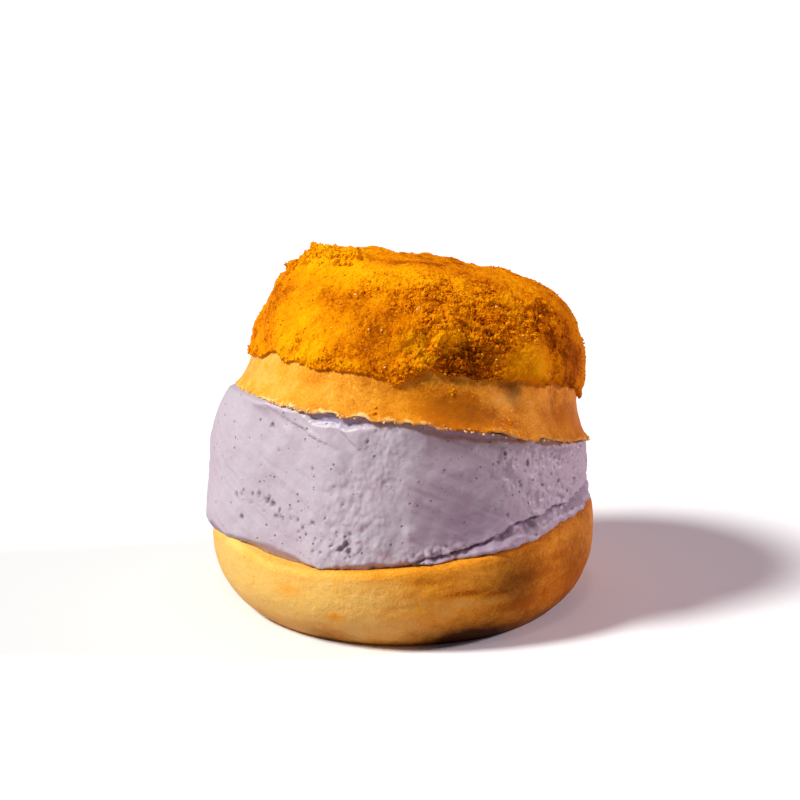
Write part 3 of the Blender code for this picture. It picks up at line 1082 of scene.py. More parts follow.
@dataclass
class UpperBun:
    """The upper half's bread: a dome whose rim flares out at a ragged cut."""

    frame: UpperFrame
    columns: int = 560
    shown: float = 18 * MM
    row: float = 0.4 * MM
    hidden_shares: Row = (0.55, 0.65, 0.75, 0.85, 0.93, 0.98)
    face_rings: Row = (24 * MM, 36 * MM)
    # how far inside the rim the face starts to round off, and how high
    rounding: tuple[Row, ...] = ((0.9 * MM, 0.0), (0.3 * MM, 0.1 * MM))
    outer: float = 38 * MM
    rim_height: float = 1.3 * MM
    ragged: float = 0.8 * MM
    tears: tuple[Ripple, ...] = (Ripple(0.6, 1.6 * MM), Ripple(1.25, 4.5 * MM, shift=0.2))
    lift: float = 1.1 * MM
    # middle turn and spread of the lifted stretch, the creased side and the torn side
    lifted: Row = (-69, 8)
    creased: Row = (-40, 45)
    torn: Row = (-128, 28)
    skin: Ripple = Ripple(0.12 * MM, 4 * MM)
    creases: Ripple = Ripple(0.35 * MM, 7 * MM, 2, 0.3)
    notches: Ripple = Ripple(0.5 * MM, 1.3 * MM, shift=0.1)
    shreds: Ripple = Ripple(0.8, 1.0 * MM, shift=0.7)
    clouds: Ripple = Ripple(0.45, 5 * MM, shift=0.5)
    fray: float = 0.45 * MM
    torn_fray: float = 0.9 * MM
    tones: tuple[Patch, ...] = patches(
        (-158, 5, 14, 9, -0.15), (-120, 6, 12, 7, 0.2), (-84, 4, 12, 8, 1.05), (-72, 3, 7, 5, 0.75),
        (-56, 4, 14, 8, 0.4), (-63, 8.5, 5, 2.5, -0.9), (-52, 7, 7, 4, -0.4), (-41, 6, 5, 4, 0.3),
        (-28, 4, 12, 9, 0.8), (0, 4, 18, 9, 0.6), (60, 5, 24, 8, 0.4), (140, 5, 22, 8, -0.3),
    )
    # painted shadows on the bread: under the crust's lobe and lower edge, in the folds on the right and low
    # on the front
    shadows: tuple[Patch, ...] = patches(
        (-59, 11.5, 3.5, 2, 0.55), (-57, 9, 1.6, 2.6, 0.3), (-82, 11, 8, 1.5, 0.3),
        (-72, 5.5, 7, 4, 0.3), (-84, 5.5, 7, 4, 0.15), (-36, 9, 1.4, 3, 0.3), (-41, 6, 5, 5, 0.1),
    )
    ambers: tuple[Patch, ...] = patches(
        (-97, 4, 6, 5, 0.3), (-103.5, 1.7, 0.7, 0.5, 1), (-28, 3, 4, 3, 0.4), (-17, 5, 3, 4, 0.4),
        (-136, 6, 9, 4, 0.25),
    )
    dents: tuple[Patch, ...] = patches(
        (-60, 10, 4, 3, -1), (-48, 5, 6, 4, 0.5), (-37, 8, 2, 4, -0.6), (-70, 6, 4, 5, 0.3),
        (-95, 7, 6, 2, -0.3),
        unit=MM,
    )

    def outline(self) -> Outline:
        """Draws the half's outline.

        Returns:
            (radius, height) points from the cut face's middle round the rim to the dome's top.
        """
        shown = list(np.arange(0.5 * MM, self.shown, self.row))
        heights = shown + [share * self.frame.tall for share in self.hidden_shares]
        rim = float(self.frame.radius(np.array(0.0)))
        face = [(0.0, 0.0)] + [(ring, 0.0) for ring in self.face_rings]
        face += [(rim - inward, height) for inward, height in self.rounding]
        side = [(float(self.frame.radius(np.array(z))), float(z)) for z in heights]
        return face + side + [(0.0, self.frame.tall)]

    def build(self, finish: Material) -> None:
        """Models the half and dresses it.

        Args:
            finish: the bread's material.
        """
        mesh = turned(self.outline(), self.columns)
        form = points_of(mesh)
        turn = turn_of(form[:, 0], form[:, 1])
        radius = np.hypot(form[:, 0], form[:, 1])
        height = form[:, 2]
        points = self.frame.uneven(form)
        outer = radius > self.outer
        rim = outer * hill(height, self.rim_height)
        tear = sum(ripple.at(points) for ripple in self.tears)
        relief = patched(self.dents, turn, height, radius) * outer + self.skin.at(points)
        relief += sector(turn, *self.creased) * self.creases.at(points) + rim * self.notches.at(points)
        points[:, :2] *= (1 + relief / np.maximum(radius, 1 * MM))[:, None]
        points[:, 2] += rim * (self.ragged * tear + self.lift * sector(turn, *self.lifted))
        put_points(mesh, self.frame.to_world(points))
        left = sector(turn, *self.torn)
        reach = (self.fray + self.torn_fray * left) * (0.35 + 0.6 * tear + self.shreds.at(points))
        bare = outer * step(reach - height, 0.25 * MM)
        tone = patched(self.tones, turn, height, radius) - bare + self.clouds.at(points)
        put_mask(mesh, "tone", tone)
        # the painted shadows go into the char mask, which darkens towards the burnt colour
        put_mask(mesh, "char_and_shade", patched(self.shadows, turn, height, radius))
        put_mask(mesh, "amber", patched(self.ambers, turn, height, radius))
        put_mask(mesh, "bare", (0.2 + 0.4 * left) * bare)
        add_piece("bread_upper", mesh, finish, "upper_bun")


# The cream


@dataclass
class CreamFace:
    """Points of the cream's smooth surface, and the uneven patterns that several of its marks share."""

    places: Array
    turn: Array
    height: Array
    above: Array
    below: Array

    def __post_init__(self) -> None:
        """Works out the shared patterns."""
        self.ragged = rumple(self.places, 2.2 * MM)
        self.coarse = rumple(self.places + 0.3, 7 * MM, 2)
        self.curds = billow(self.places, 2.4 * MM)
        self.torn = billow(self.places + 0.4, 4.2 * MM)
        self.flakes = billow(self.places + 0.2, 2.0 * MM, 2)


@dataclass
class CreamFilling:
    """The wedge of cream between the cut faces."""

    lower: LowerBun
    upper: UpperFrame
    low: float = 46.9 * MM
    high: float = 44.0 * MM
    bulge: float = 4.4 * MM
    # middle turn and spread of the bulge
    bulged: Row = (180, 42)
    # turn of each flat that the knife cut, and its distance from the axis as a share of the radius
    flats: tuple[Row, ...] = ((-131.5, 0.97), (-74.5, 0.97))
    softness: float = 0.2 * MM
    low_rings: Row = (0.0, 14 * MM, 28 * MM, 40 * MM)
    high_rings: Row = (36 * MM, 24 * MM, 0.0)
    crowding: float = 1.1
    columns: int = 900
    levels: int = 84
    overlap: float = 0.1 * MM
    swell: Ripple = Ripple(0.35 * MM, 9 * MM)
    edge_waves: tuple[Ripple, ...] = (Ripple(0.7, 3.5 * MM), Ripple(1.0, 9 * MM, 3, (0, 0, 0.1)))
    edge_wave: float = 0.55 * MM
    edge_fade: float = 1.6 * MM
    # turn, tilt, height, half length, width and rise of each flap that the knife left, whose upper side
    # stands proud
    flaps: tuple[Row, ...] = in_mm(
        (-125, -17, 52.2, 9, 3.6, 0.95), (-110, -35, 52.2, 4.5, 2.4, 0.85), (-138, -24, 44, 9, 5, 0.14),
        (-150, -28, 38, 12, 4, 0.16), (-128, -20, 38, 10, 4, 0.12), (-118, -30, 33, 8, 3, 0.14),
        (-70, 10, 44, 9, 3, 0.2), (-52, 25, 41, 4, 1.4, 0.35), (-40, 40, 36, 4, 1.6, 0.35),
        (-33, 15, 43, 5, 1.6, 0.35), (10, 8, 38, 10, 3, 0.35), (60, -12, 33, 12, 3, 0.4),
        (105, -8, 38, 14, 4, 0.4), (150, -14, 45, 12, 4, 0.35), (178, -20, 36, 12, 4, 0.3),
        plain=2,
    )
    # turn, height and radius of each torn hollow
    tears: tuple[Row, ...] = in_mm(
        (-148, 33.2, 0.55), (-145, 28.3, 0.45), (-139, 34.8, 0.55), (-136, 33.4, 0.5), (-133.8, 33, 0.6),
        (-141.5, 34.6, 0.4), (-131, 31.9, 0.4), (-145, 34.9, 0.35), (-130.3, 31, 0.35),
        (-132.2, 30.9, 0.3), (-107, 27.4, 0.55), (-108.5, 26, 0.5), (-106, 25.4, 0.4),
        (-107.5, 28.7, 0.4), (-122, 29, 0.4), (-138, 51.8, 0.45), (-60, 47, 0.4), (-51, 43.5, 0.5),
        (-35, 36.5, 0.45), (40, 36, 0.9), (75, 31, 0.7), (118, 36, 0.9), (160, 40, 0.8),
    )
    # turn, how many pits, height and spread of each cluster
    pit_clusters: tuple[Row, ...] = in_mm(
        (-146, 4, 33, 2.5), (-137, 12, 33.8, 2.8), (-127, 8, 30.5, 3), (-118, 12, 28.5, 3.5),
        (-108, 6, 30, 4), (-52, 9, 44, 5), (-38, 9, 40, 5), (30, 9, 35, 9), (120, 9, 35, 9),
        plain=2,
    )
    loose_pits: int = 40
    pit_heights: Row = (22 * MM, 54 * MM)
    pit_sizes: Row = (0.25, 0.5)
    pit_depths: Row = (0.6, 1.0)
    seed: int = 7
    # turn, height, half width and rise of each soft dab
    dabs: tuple[Row, ...] = in_mm(
        (-88.5, 30.1, 1.5, 0.7), (-97, 26.5, 2.2, 0.3), (-31, 45, 2, 0.5), (-27, 33.6, 1.5, 1.2),
        (-47, 28.6, 2.4, 1.1), (-63, 24.6, 2.6, 0.7), (130, 44, 4, 0.5),
    )
    # turn and height of the slab's lower edge, under which a second layer bulges out
    ledge: tuple[Row, ...] = in_mm(
        (-100, 19), (-84, 23.2), (-77, 24.4), (-68, 26.3), (-55, 29.2), (-45, 30.2), (-37, 30.6),
        (-20, 31.4), (10, 31), (40, 26),
    )
    # turn, and how far the second layer stands out there, as a share
    layered: tuple[Row, ...] = ((-92, 0), (-80, 1), (-42, 1), (-22, 0.8), (12, 0.6), (40, 0))
    # turn and height of the undercut lip, above the lower cut
    lip: tuple[Row, ...] = in_mm(
        (-180, 4.6), (-168, 3.8), (-150, 3), (-136, 2.7), (-125, 2.6), (-118, 1.4), (-114, 0.2),
        (-109, 1.3), (-98, 1.8), (-88, 1.4), (-80, 0), (100, 0), (120, 1.2), (150, 1.4), (168, 2.6),
        (180, 4.6),
    )
    # turn, height under the upper cut and softness of the recess beneath the rim
    recess: tuple[Row, ...] = in_mm(
        (-180, 0.4, 0.4), (-136, 0.4, 0.4), (-128, 0.4, 0.4), (-122, 2.6, 0.4), (-111, 3, 0.4),
        (-104, 1.6, 0.8), (-95, 0.2, 0.8), (-88, 1.6, 0.8), (-78, 2.1, 0.6), (-72, 1.8, 0.4),
        (-66, 1.7, 0.3), (-58, 1.6, 0.3), (-53, 0.8, 0.3), (-49, 0.2, 0.3), (180, 0.4, 0.4),
    )
    # turn, and how strongly painted violet shade tints the recess there
    recess_shading: tuple[Row, ...] = ((-136, 0), (-124, 0.85), (-60, 0.85), (-50, 0))
    # turn, spread, height, half height and darkness of each broad patch of painted shade
    shades: tuple[Row, ...] = ((-71, 15, 30 * MM, 8 * MM, 0.75), (-72, 13, 42 * MM, 8 * MM, 0.2))

    def outline(self) -> Outline:
        """Draws the cream's outline.

        Returns:
            (radius, level) points, with the level from 0 at the lower cut to 1 at the upper.
        """
        side = [(self.low, (level / self.levels) ** self.crowding) for level in range(self.levels + 1)]
        return [(ring, 0.0) for ring in self.low_rings] + side + [(ring, 1.0) for ring in self.high_rings]

    def reach(self, turn: Array, level: Array) -> Array:
        """Works out how far the cream reaches, before its finer relief.

        Args:
            turn: turns in degrees.
            level: levels from 0 at the lower cut to 1 at the upper.

        Returns:
            The distance from the axis at each.
        """
        radius = self.low + level * (self.high - self.low)
        swelling = np.clip(np.sin(math.pi * np.clip(level, 0, 1) ** 0.6), 0, None) ** 0.35
        radius = radius + self.bulge * sector(turn, *self.bulged) * swelling
        full = radius
        for flat, share in self.flats:
            away = np.cos(np.radians(turn_between(turn, flat)))
            over = full - full * share / np.maximum(away, 0.5)
            radius = radius - self.softness * np.log1p(np.exp(np.clip(over / self.softness, -40, 40)))
        return radius

    def sideways(self, turn: Array, other: float) -> Array:
        """How far along the side each turn lies from another."""
        return np.radians(turn_between(turn, other)) * self.low

    def along(self, table: tuple[Row, ...], turn: Array) -> list[Array]:
        """Reads a table along its turns.

        Args:
            table: rows of a turn and the values there.
            turn: turns in degrees.

        Returns:
            Each of the values at each turn.
        """
        turns, *columns = zip(*table)
        return [np.interp(turn, turns, column) for column in columns]

    def roughness(self, face: CreamFace) -> Array:
        """Works out where the cream is torn and airy, on the right and a little at the back.

        Args:
            face: the cream's smooth surface.

        Returns:
            How rough each point is, from 0 to about 1.
        """
        right = sector(face.turn, -34, 25) * (0.3 + 0.7 * step(face.height - 35 * MM, 8 * MM))
        rough = np.clip(right + 0.5 * sector(face.turn, 60, 60), 0, 1)
        return rough * np.clip(0.75 + 1.2 * rumple(face.places + 0.9, 6 * MM, 2), 0.1, 1.3)

    def strokes(self, face: CreamFace, rough: Array) -> Array:
        """Works out the knife's long slanted strokes, and the slab's gentle waves.

        Args:
            face: the cream's smooth surface.
            rough: how rough each point is.

        Returns:
            How far each point stands out.
        """
        slant = math.radians(25)
        length = 14
        girth = np.radians(face.turn) * self.low
        along = girth * math.cos(slant) - face.height * math.sin(slant)
        across = girth * math.sin(slant) + face.height * math.cos(slant)
        strokes = rumple(np.column_stack((along / length, across, 0 * along)), 1.5 * MM, 2)
        waves = 0.28 * MM * face.coarse + 0.07 * MM * face.ragged
        return 0.15 * MM * strokes * (1 - 0.6 * rough) + waves

    def curdled(self, face: CreamFace) -> Array:
        """Works out the curds: soft ones by the corner at the front, and a row at the lower edge.

        Args:
            face: the cream's smooth surface.

        Returns:
            How far each point stands out.
        """
        corner = 0.7 * sector(face.turn, -106, 10) * step(43 * MM - face.height, 8 * MM)
        row_height = 24.5 * MM + 0.12 * MM * (face.turn + 81)
        row = sector(face.turn, -81, 9) * hill(face.height - row_height, 2.0 * MM)
        out = corner * (0.3 * MM * face.ragged + 0.7 * MM * (face.curds - 0.4))
        return out + row * (1.7 * MM * (face.curds - 0.35) + 0.5 * MM * face.ragged)

    def torn(self, face: CreamFace, rough: Array) -> Array:
        """Works out the rough zone's blobs, tears and flakes, and the scuffs under the recess.

        Args:
            face: the cream's smooth surface.
            rough: how rough each point is.

        Returns:
            How far each point stands out.
        """
        near, _, chance = cells(face.places + 0.35 * MM * face.ragged[:, None], 2.6 * MM)
        blobs = np.sqrt(np.clip(1 - (near / 0.7) ** 2, 0, 1)) * np.clip(chance * 1.6 - 0.5, 0, 1)
        flakes = face.flakes - 0.45
        out = rough * (0.8 * MM * (blobs - 0.3) + 1.9 * MM * (face.torn - 0.45) + 0.9 * MM * flakes)
        scuffed = sector(face.turn, -99, 7) * step(face.height - 39 * MM, 6 * MM)
        return out + scuffed * (0.25 * MM * flakes + 0.2 * MM * rumple(face.places + 0.6, 1.1 * MM))

    def smears(self, face: CreamFace) -> Array:
        """Works out the knife's flaps and dabs, and the crease down the front.

        Args:
            face: the cream's smooth surface.

        Returns:
            How far each point stands out.
        """
        out = np.zeros_like(face.turn)
        for turn, height, width, rise in self.dabs:
            away = np.hypot(self.sideways(face.turn, turn), face.height - height)
            out += rise * hill(away, width) * (1 + 0.5 * face.ragged)
        wavy = 0.25 * MM * face.ragged + 0.5 * MM * face.coarse
        for turn, tilt, height, length, width, rise in self.flaps:
            lean = math.radians(tilt)
            sideways, upward = self.sideways(face.turn, turn), face.height - height
            along = sideways * math.cos(lean) + upward * math.sin(lean)
            over = upward * math.cos(lean) - sideways * math.sin(lean) + wavy
            out += rise * np.exp(-np.clip(over, 0, None) / width) * step(over, 0.2 * MM) * hill(along, length)
        crease = face.turn + 108 + 3 * (face.height - 46 * MM) / (10 * MM)
        return out - 0.22 * MM * hill(crease, 2.6) * step(face.height - 30 * MM, 12 * MM)

    def undercut(self, face: CreamFace) -> tuple[Array, Array]:
        """Works out the lip at the lower cut.

        Args:
            face: the cream's smooth surface.

        Returns:
            How far each point stands out, and how dark it is.
        """
        (band,) = self.along(self.lip, face.turn)
        band = band * (1 + 0.5 * face.coarse) + 0.15 * MM * face.ragged
        bevel = np.clip(1 - face.above / np.maximum(band, 0.1 * MM), 0, 1)
        bevel *= 0.25 + 0.75 * step(band - face.above, 0.2 * MM)
        tuck = 1.0 * MM + 1.2 * MM * sector(face.turn, 178, 16)
        out = -tuck * np.minimum(bevel * 1.3, 1) * step(band - 0.3 * MM, 0.4 * MM)
        return out, 0.6 * step(band + 0.3 * MM - face.above, 0.5 * MM) * (band > 0.3 * MM)

    def second_layer(self, face: CreamFace) -> tuple[Array, Array]:
        """Works out the layer that bulges out under the slab's lower edge, at the right.

        Args:
            face: the cream's smooth surface.

        Returns:
            How far each point stands out, and how much painted shade it takes under the slab's edge.
        """
        (ledge,), (right,) = self.along(self.ledge, face.turn), self.along(self.layered, face.turn)
        under = ledge + 0.5 * MM * face.ragged + 1.3 * MM * face.coarse - face.height
        depth = np.clip(under / np.maximum(under + face.above, MM), 0, 1)
        swelling = 1.0 * MM + 1.2 * MM * rumple(face.places + 1.3, 13 * MM, 1)
        lumps = 1.5 * MM * (billow(face.places + 0.7, 9 * MM, 2) - 0.42) + 0.3 * MM * (face.torn - 0.4)
        second = swelling * np.sin(math.pi * depth) - 2.2 * MM * (1 - depth) ** 2.5 + lumps
        shade = right * step(under, 0.4 * MM) * (0.05 + 0.65 * (1 - depth) ** 2)
        return right * step(under, 0.22 * MM) * second, shade

    def hollowed(self, face: CreamFace) -> tuple[Array, Array]:
        """Works out the recess under the rim, and how the cream presses out beside it.

        Args:
            face: the cream's smooth surface.

        Returns:
            How far each point stands out, and how strongly painted violet shade tints it.
        """
        recess, softness = self.along(self.recess, face.turn)
        recess += 0.5 * MM * face.coarse + 0.2 * MM * face.ragged
        hollow = step((recess - face.below) / softness, 1.0)
        out = -(0.9 * MM + 0.7 * MM * sector(face.turn, -112, 10)) * hollow
        out += 1.5 * MM * hill(face.below, 2.2 * MM) * sector(face.turn, -140, 15)
        out -= 0.25 * MM * hill(face.below, 0.7 * MM) * (1 + face.ragged)
        roll = (0.9 * MM + 0.4 * MM * face.ragged) * hill(face.below - 1.5 * MM, 1.1 * MM)
        (recess_shade,) = self.along(self.recess_shading, face.turn)
        return out + roll * sector(face.turn, -38, 17), recess_shade * hollow

    def pits(self) -> list[Row]:
        """Draws the pits from a seeded generator.

        Returns:
            (turn, height, radius, depth) of each pit.
        """
        draw = np.random.default_rng(self.seed)
        places = []
        for turn, count, height, spread in self.pit_clusters:
            for _ in range(count):
                away = draw.normal(0, spread, 2)
                places.append((turn + math.degrees(away[0] / self.low), height + away[1]))
        for _ in range(self.loose_pits):
            places.append((draw.uniform(-180, 180), draw.uniform(*self.pit_heights)))
        found = []
        for turn, height in places:
            radius = draw.uniform(*self.pit_sizes) * MM
            found.append((turn, height, radius, radius * draw.uniform(*self.pit_depths)))
        return found

    def holes(self, face: CreamFace) -> tuple[Array, Array]:
        """Works out the pits and the torn hollows.

        Args:
            face: the cream's smooth surface.

        Returns:
            How far each point stands out, and how dark it is painted, as shade in the pits and hollows.
        """
        out, dark = np.zeros_like(face.turn), np.zeros_like(face.turn)
        for turn, height, radius, depth in self.pits():
            near = np.abs(turn_between(face.turn, turn)) < 2
            away = np.hypot(self.sideways(face.turn[near], turn), face.height[near] - height)
            share = np.clip(away / radius + 0.8 * face.ragged[near], 0, None)
            bowl = np.clip(1 - share**2, 0, None)
            out[near] -= depth * np.sqrt(bowl)
            dark[near] = np.maximum(dark[near], 0.65 * bowl)
        for turn, height, radius in self.tears:
            near = np.abs(turn_between(face.turn, turn)) < 5
            warp = radius * (1.1 * face.ragged[near] + 0.6 * (face.torn[near] - 0.4))
            away = np.hypot(self.sideways(face.turn[near], turn), 0.7 * (face.height[near] - height))
            share = (away + warp) / radius
            hollow = step(1 - share, 0.7)
            out[near] += 0.16 * MM * hill(share - 1.5, 0.4) - 0.8 * radius * hollow
            dark[near] = np.maximum(dark[near], 0.8 * hollow)
        return out, dark

    def relief(self, face: CreamFace) -> tuple[Array, Masks]:
        """Works out the cream's fine relief.

        Args:
            face: the cream's smooth surface.

        Returns:
            How far each point stands out, and the masks pit, deep, under and rough, of which pit, deep and
            under are painted shade.
        """
        rough = self.roughness(face)
        lip, lip_shade = self.undercut(face)
        second, second_shade = self.second_layer(face)
        recess, recess_shade = self.hollowed(face)
        holes, dark = self.holes(face)
        marks = self.strokes(face, rough) + self.curdled(face) + self.torn(face, rough) + self.smears(face)
        # painted shade under the lip, under the slab's edge and in broad patches
        deep_shade = lip_shade + second_shade
        for turn, spread, height, width, amount in self.shades:
            deep_shade += amount * sector(face.turn, turn, spread) * hill(face.height - height, width)
        masks = {"pit": dark, "deep_shade": deep_shade, "under": recess_shade, "rough": rough}
        return marks + lip + second + recess + holes, masks

    def swollen(self, form: Array, turn: Array, height: Array) -> Array:
        """Works out how far the side reaches: tucked in at the lower left, and fuller at the back.

        Args:
            form: the turned form's points, with their levels for heights.
            turn: their turns in degrees.
            height: their heights above the lower cut, about.

        Returns:
            The distance from the axis at each point.
        """
        x, y, level = form.T
        left, right, back = sector(turn, -140, 38), sector(turn, -45, 32), sector(turn, 178, 34)
        reach = self.reach(turn, level) + self.swell.at(np.column_stack((x, y, height)))
        reach -= 0.3 * MM * left * np.clip(1 - height / (2.2 * MM), 0, None)
        reach += right * (1.7 * MM * hill(height, 4.4 * MM) - 1.36 * MM)
        reach += 1.3 * MM * back * hill(level - 0.74, 0.22)
        wavy = sum(wave.at(np.column_stack((x, y, 0 * x))) for wave in self.edge_waves)
        return reach + self.edge_wave * wavy * hill(height, self.edge_fade)

    def build(self, finish: Material) -> None:
        """Models the cream and dresses it.

        Args:
            finish: the cream's material.
        """
        mesh = turned(self.outline(), self.columns)
        form = points_of(mesh)
        x, y, level = form.T
        radius, turn = np.hypot(x, y), turn_of(x, y)
        side = radius > self.low_rings[-1] + 0.5 * MM
        centre = self.lower.centre + level * (self.upper.place_x - self.lower.centre)
        thickness = self.upper.place_z - self.lower.cut_height
        height = level * thickness * (1 - 0.5 * np.where(side, x / np.maximum(radius, MM), 0))
        reach = np.where(side, self.swollen(form, turn, height), radius)
        unit_x, unit_y = x / np.maximum(radius, TINY), y / np.maximum(radius, TINY)
        floor = self.lower.cut(unit_x * reach, unit_y * reach) - self.overlap
        floor -= self.lower.shoulder_drop(reach)
        ceiling = self.upper.cut(unit_x * reach + centre, unit_y * reach) + 1.5 * self.overlap
        world = floor + level * (ceiling - floor)
        places = np.column_stack((unit_x * reach, unit_y * reach, world))
        out, masks = self.relief(CreamFace(places, turn, world, world - floor, ceiling - world))
        reach = np.where(side, reach + out, reach)
        put_points(mesh, np.column_stack((unit_x * reach + centre, unit_y * reach, world)))
        for name, mask in masks.items():
            put_mask(mesh, name, np.where(side, mask, 0))
        add_piece("cream_slab", mesh, finish, "cream_filling")


# The cookie crust


@dataclass
class CrustFace:
    """Points on the even dome, and the uneven patterns that several of the crust's marks share."""

    bread: Array
    from_edge: Array
    rim: Callable[[Array], Array]

    def __post_init__(self) -> None:
        """Works out the shared patterns."""
        self.clouds = rumple(self.bread + 0.4, 6 * MM)
        warp = [rumple(self.bread + shift, 1.6 * MM, 2) for shift in (0.5, 0.6, 0.7)]
        self.warp = np.column_stack(warp) * 0.45 * MM
        self.crumb = billow(self.bread + self.warp, 3.2 * MM, 4)
        self.fine = billow(self.bread + 0.3, 1.15 * MM)
        self.sand = billow(self.bread + 0.6, 1.7 * MM)

    def within(self, spots: tuple[Patch, ...]) -> Array:
        """How much each point lies within the given patches."""
        x, y, height = self.bread.T
        return patched(spots, turn_of(x, y), height, np.hypot(x, y), self.rim)


@dataclass
class CookieCrust:
    """The cookie crust: a sheet draped over the dome, crumbled where it is dry and smooth where it melted."""

    frame: UpperFrame
    cells: int = 300
    outline_points: int = 721
    stride: float = 0.2 * MM
    thickness: float = 1.7 * MM
    edge_thickness: float = 0.85 * MM
    thinnest: float = 0.4 * MM
    edge_height: float = 10.9 * MM
    edge_slant: float = 2.6 * MM
    edge_slant_turn: float = -15
    edge_rounding: float = 2.0 * MM
    edge_rag: tuple[Ripple, ...] = (Ripple(0.9 * MM, 5 * MM, 2), Ripple(0.45 * MM, 1.5 * MM, 2, 0.1))
    crag: float = 1.7 * MM
    smoothing: float = 0.75
    least_rough: float = 0.2
    # how far each step of the edge tucks in under the crust
    tucks: Row = (0.9 * MM, 1.6 * MM)
    # broad forms that stand out from the dome, or lie back
    forms: tuple[Patch, ...] = patches(
        (-160, 32.5, 7, 4, 1.7), (-150, 33.5, 4, 3, 0.7), (-153, 34.5, 7, 5, 1.6),
        (-124, 34.5, 7, 5, -0.8), (-115, 36.8, 13, 6, -0.7), (178, 21, 14, 6, 0.1),
        (-175, 28, 10, 3.5, 0.3), (-16, 32, 16, 8, 0.6), (-95, 11.5, 4, 4, 0.9), (-78, 15, 9, 3.5, -1.4),
        (-54, 17.5, 8, 5.5, 1.5), (-67, 12, 4, 2.5, -1), (-82, 22, 14, 4.5, 0.8), (75, 34, 13, 6, 0.9),
        (120, 15, 9, 5, -0.9), (10, 17, 9, 6, 0.7),
        unit=MM,
    )
    # where the crust thickens or thins towards its edge on the left
    tapers: tuple[Patch, ...] = patches(
        (-168, 29.5, 6, 2.8, 1.6), (-165, 11, 14, 4, -1.2), (-140, 10, 14, 3, -0.6),
        unit=MM,
    )
    # turn, spread and drop of each place where the edge hangs lower, or higher
    drips: tuple[Row, ...] = in_mm(
        (-97.5, 2.8, 2.4), (-103, 7, 0.9), (-88, 4, -0.8), (-4, 14, 3.2), (95, 12, 1.5), (-147, 5, -2.3),
        (-125, 4, 0.6),
        plain=2,
    )
    # turn, height and half width of each place that melted smooth
    smooth: tuple[Row, ...] = in_mm(
        (-94, 35.5, 12), (-58, 34, 13), (-155, 20, 15), (-110, 20, 9), (-56, 17, 8), (-20, 20, 12),
        (-4, 30, 14), (22, 25, 14), (50, 36.5, 12), (150, 20, 12),
    )
    # where the crust is crumbled, or less than elsewhere
    grains: tuple[Patch, ...] = patches(
        (-88, 29, 17, 6, 1), (-72, 23, 13, 7, 1), (-87, 17, 8, 6, 1), (-110, 19, 9, 6, -0.8),
        (-22, 20, 9, 12, -0.6), (-57, 16, 7, 5, -0.7), (-162, 21, 12, 7, -0.3), (-50, 27, 12, 5, 0.8),
        (-34, 20, 6, 7, 0.5), (-150, 31, 12, 5, 0.3), (-128, 13, 12, 3, 0.7), (-80, 14, 10, 4, 1),
        (-132, 25, 12, 8, 0.1), (30, 22, 22, 9, 0.9), (90, 26, 20, 9, 0.9), (130, 30, 14, 7, 0.8),
    )
    # where it is browner, or paler
    tones: tuple[Patch, ...] = patches(
        (-137, 16, 11, 8, -0.85), (-133, 26, 6, 3, 0.3), (-98, 31, 12, 4, -0.4),
        (-150, 31.5, 14, 5, -0.65), (-132, 31.5, 9, 4, -0.35), (-148, 36, 12, 5, -0.5),
        (-152, 33, 8, 4, -0.45), (-141, 34, 6, 3, -0.4), (-124, 25, 12, 7, -0.25),
        (-111, 29, 8, 4, -0.3), (-118, 33, 8, 3, -0.5), (-70, 30, 10, 3, -0.2), (-92, 18, 7, 4, -0.85),
        (-108, 21, 9, 6, 0.6), (-108, 15.5, 7, 4, 0.55), (-103, 28.5, 5, 3, 0.7), (-45, 24, 5, 4, 0.2),
        (-118, 25, 3, 2.5, 0.5), (-158, 22, 8, 10, 0.4), (-118, 35.5, 16, 2, 0.3),
        (-76, 36.9, 20, 9, 0.5), (-95, 11, 4, 3, -0.2), (-118, 11, 9, 2, -0.3), (-110, 33, 8, 3, -0.3),
        (-132, 25, 6, 3, 0.3), (-72, 24, 16, 7, 0.2), (-50, 18, 7, 5, -0.4), (-80, 13.5, 9, 3.5, 0.8),
        (-60, 15, 7, 5, -0.45), (-28, 18, 7, 9, 0.38), (-40, 27, 8, 4, 0.38), (60, 18, 20, 7, 0.35),
        (120, 24, 16, 7, -0.3),
    )
    # where painted shade darkens its hollows more, or less
    shadows: tuple[Patch, ...] = patches(
        (-80, 13.8, 10, 4, 0.58), (-92, 18, 6, 4, -0.6), (-96, 11, 5, 3, -0.5), (-140, 30, 17, 7, -0.45),
        (-30, 17, 5, 8, 0.25), (-110, 20, 8, 6, -0.4), (-76, 18.5, 6, 2, 0.4), (-66, 12, 3.5, 2, 0.6),
        (-34, 16.5, 2.2, 5, 0.5), (-41, 23, 3, 1.6, 0.5), (120, 15, 7, 3, 0.45),
    )

    def edge(self, turn: Array) -> Array:
        """Works out how high the ragged lower edge lies.

        Args:
            turn: turns in degrees.

        Returns:
            The edge's height at each.
        """
        radius = self.frame.radius(np.array(self.edge_height))
        place = around(turn, radius, np.full_like(turn, self.edge_height))
        height = self.edge_height + self.edge_slant * np.cos(np.radians(turn - self.edge_slant_turn))
        height += sum(rag.at(place) for rag in self.edge_rag)
        for drip, spread, drop in self.drips:
            height -= drop * sector(turn, drip, spread)
        return height

    def profile(self) -> tuple[Array, Array, Array]:
        """Measures the even dome's outline, from the crown down.

        Returns:
            The length along it, the radius and the height at each of its points.
        """
        angles = np.linspace(math.pi / 2, 0, self.outline_points)
        heights = self.frame.tall * np.sin(angles) ** (2 / self.frame.fullness)
        radii = self.frame.radius(heights)
        radii[0] = 0
        lengths = np.concatenate(([0], np.cumsum(np.hypot(np.diff(radii), np.diff(heights)))))
        return lengths, radii, heights

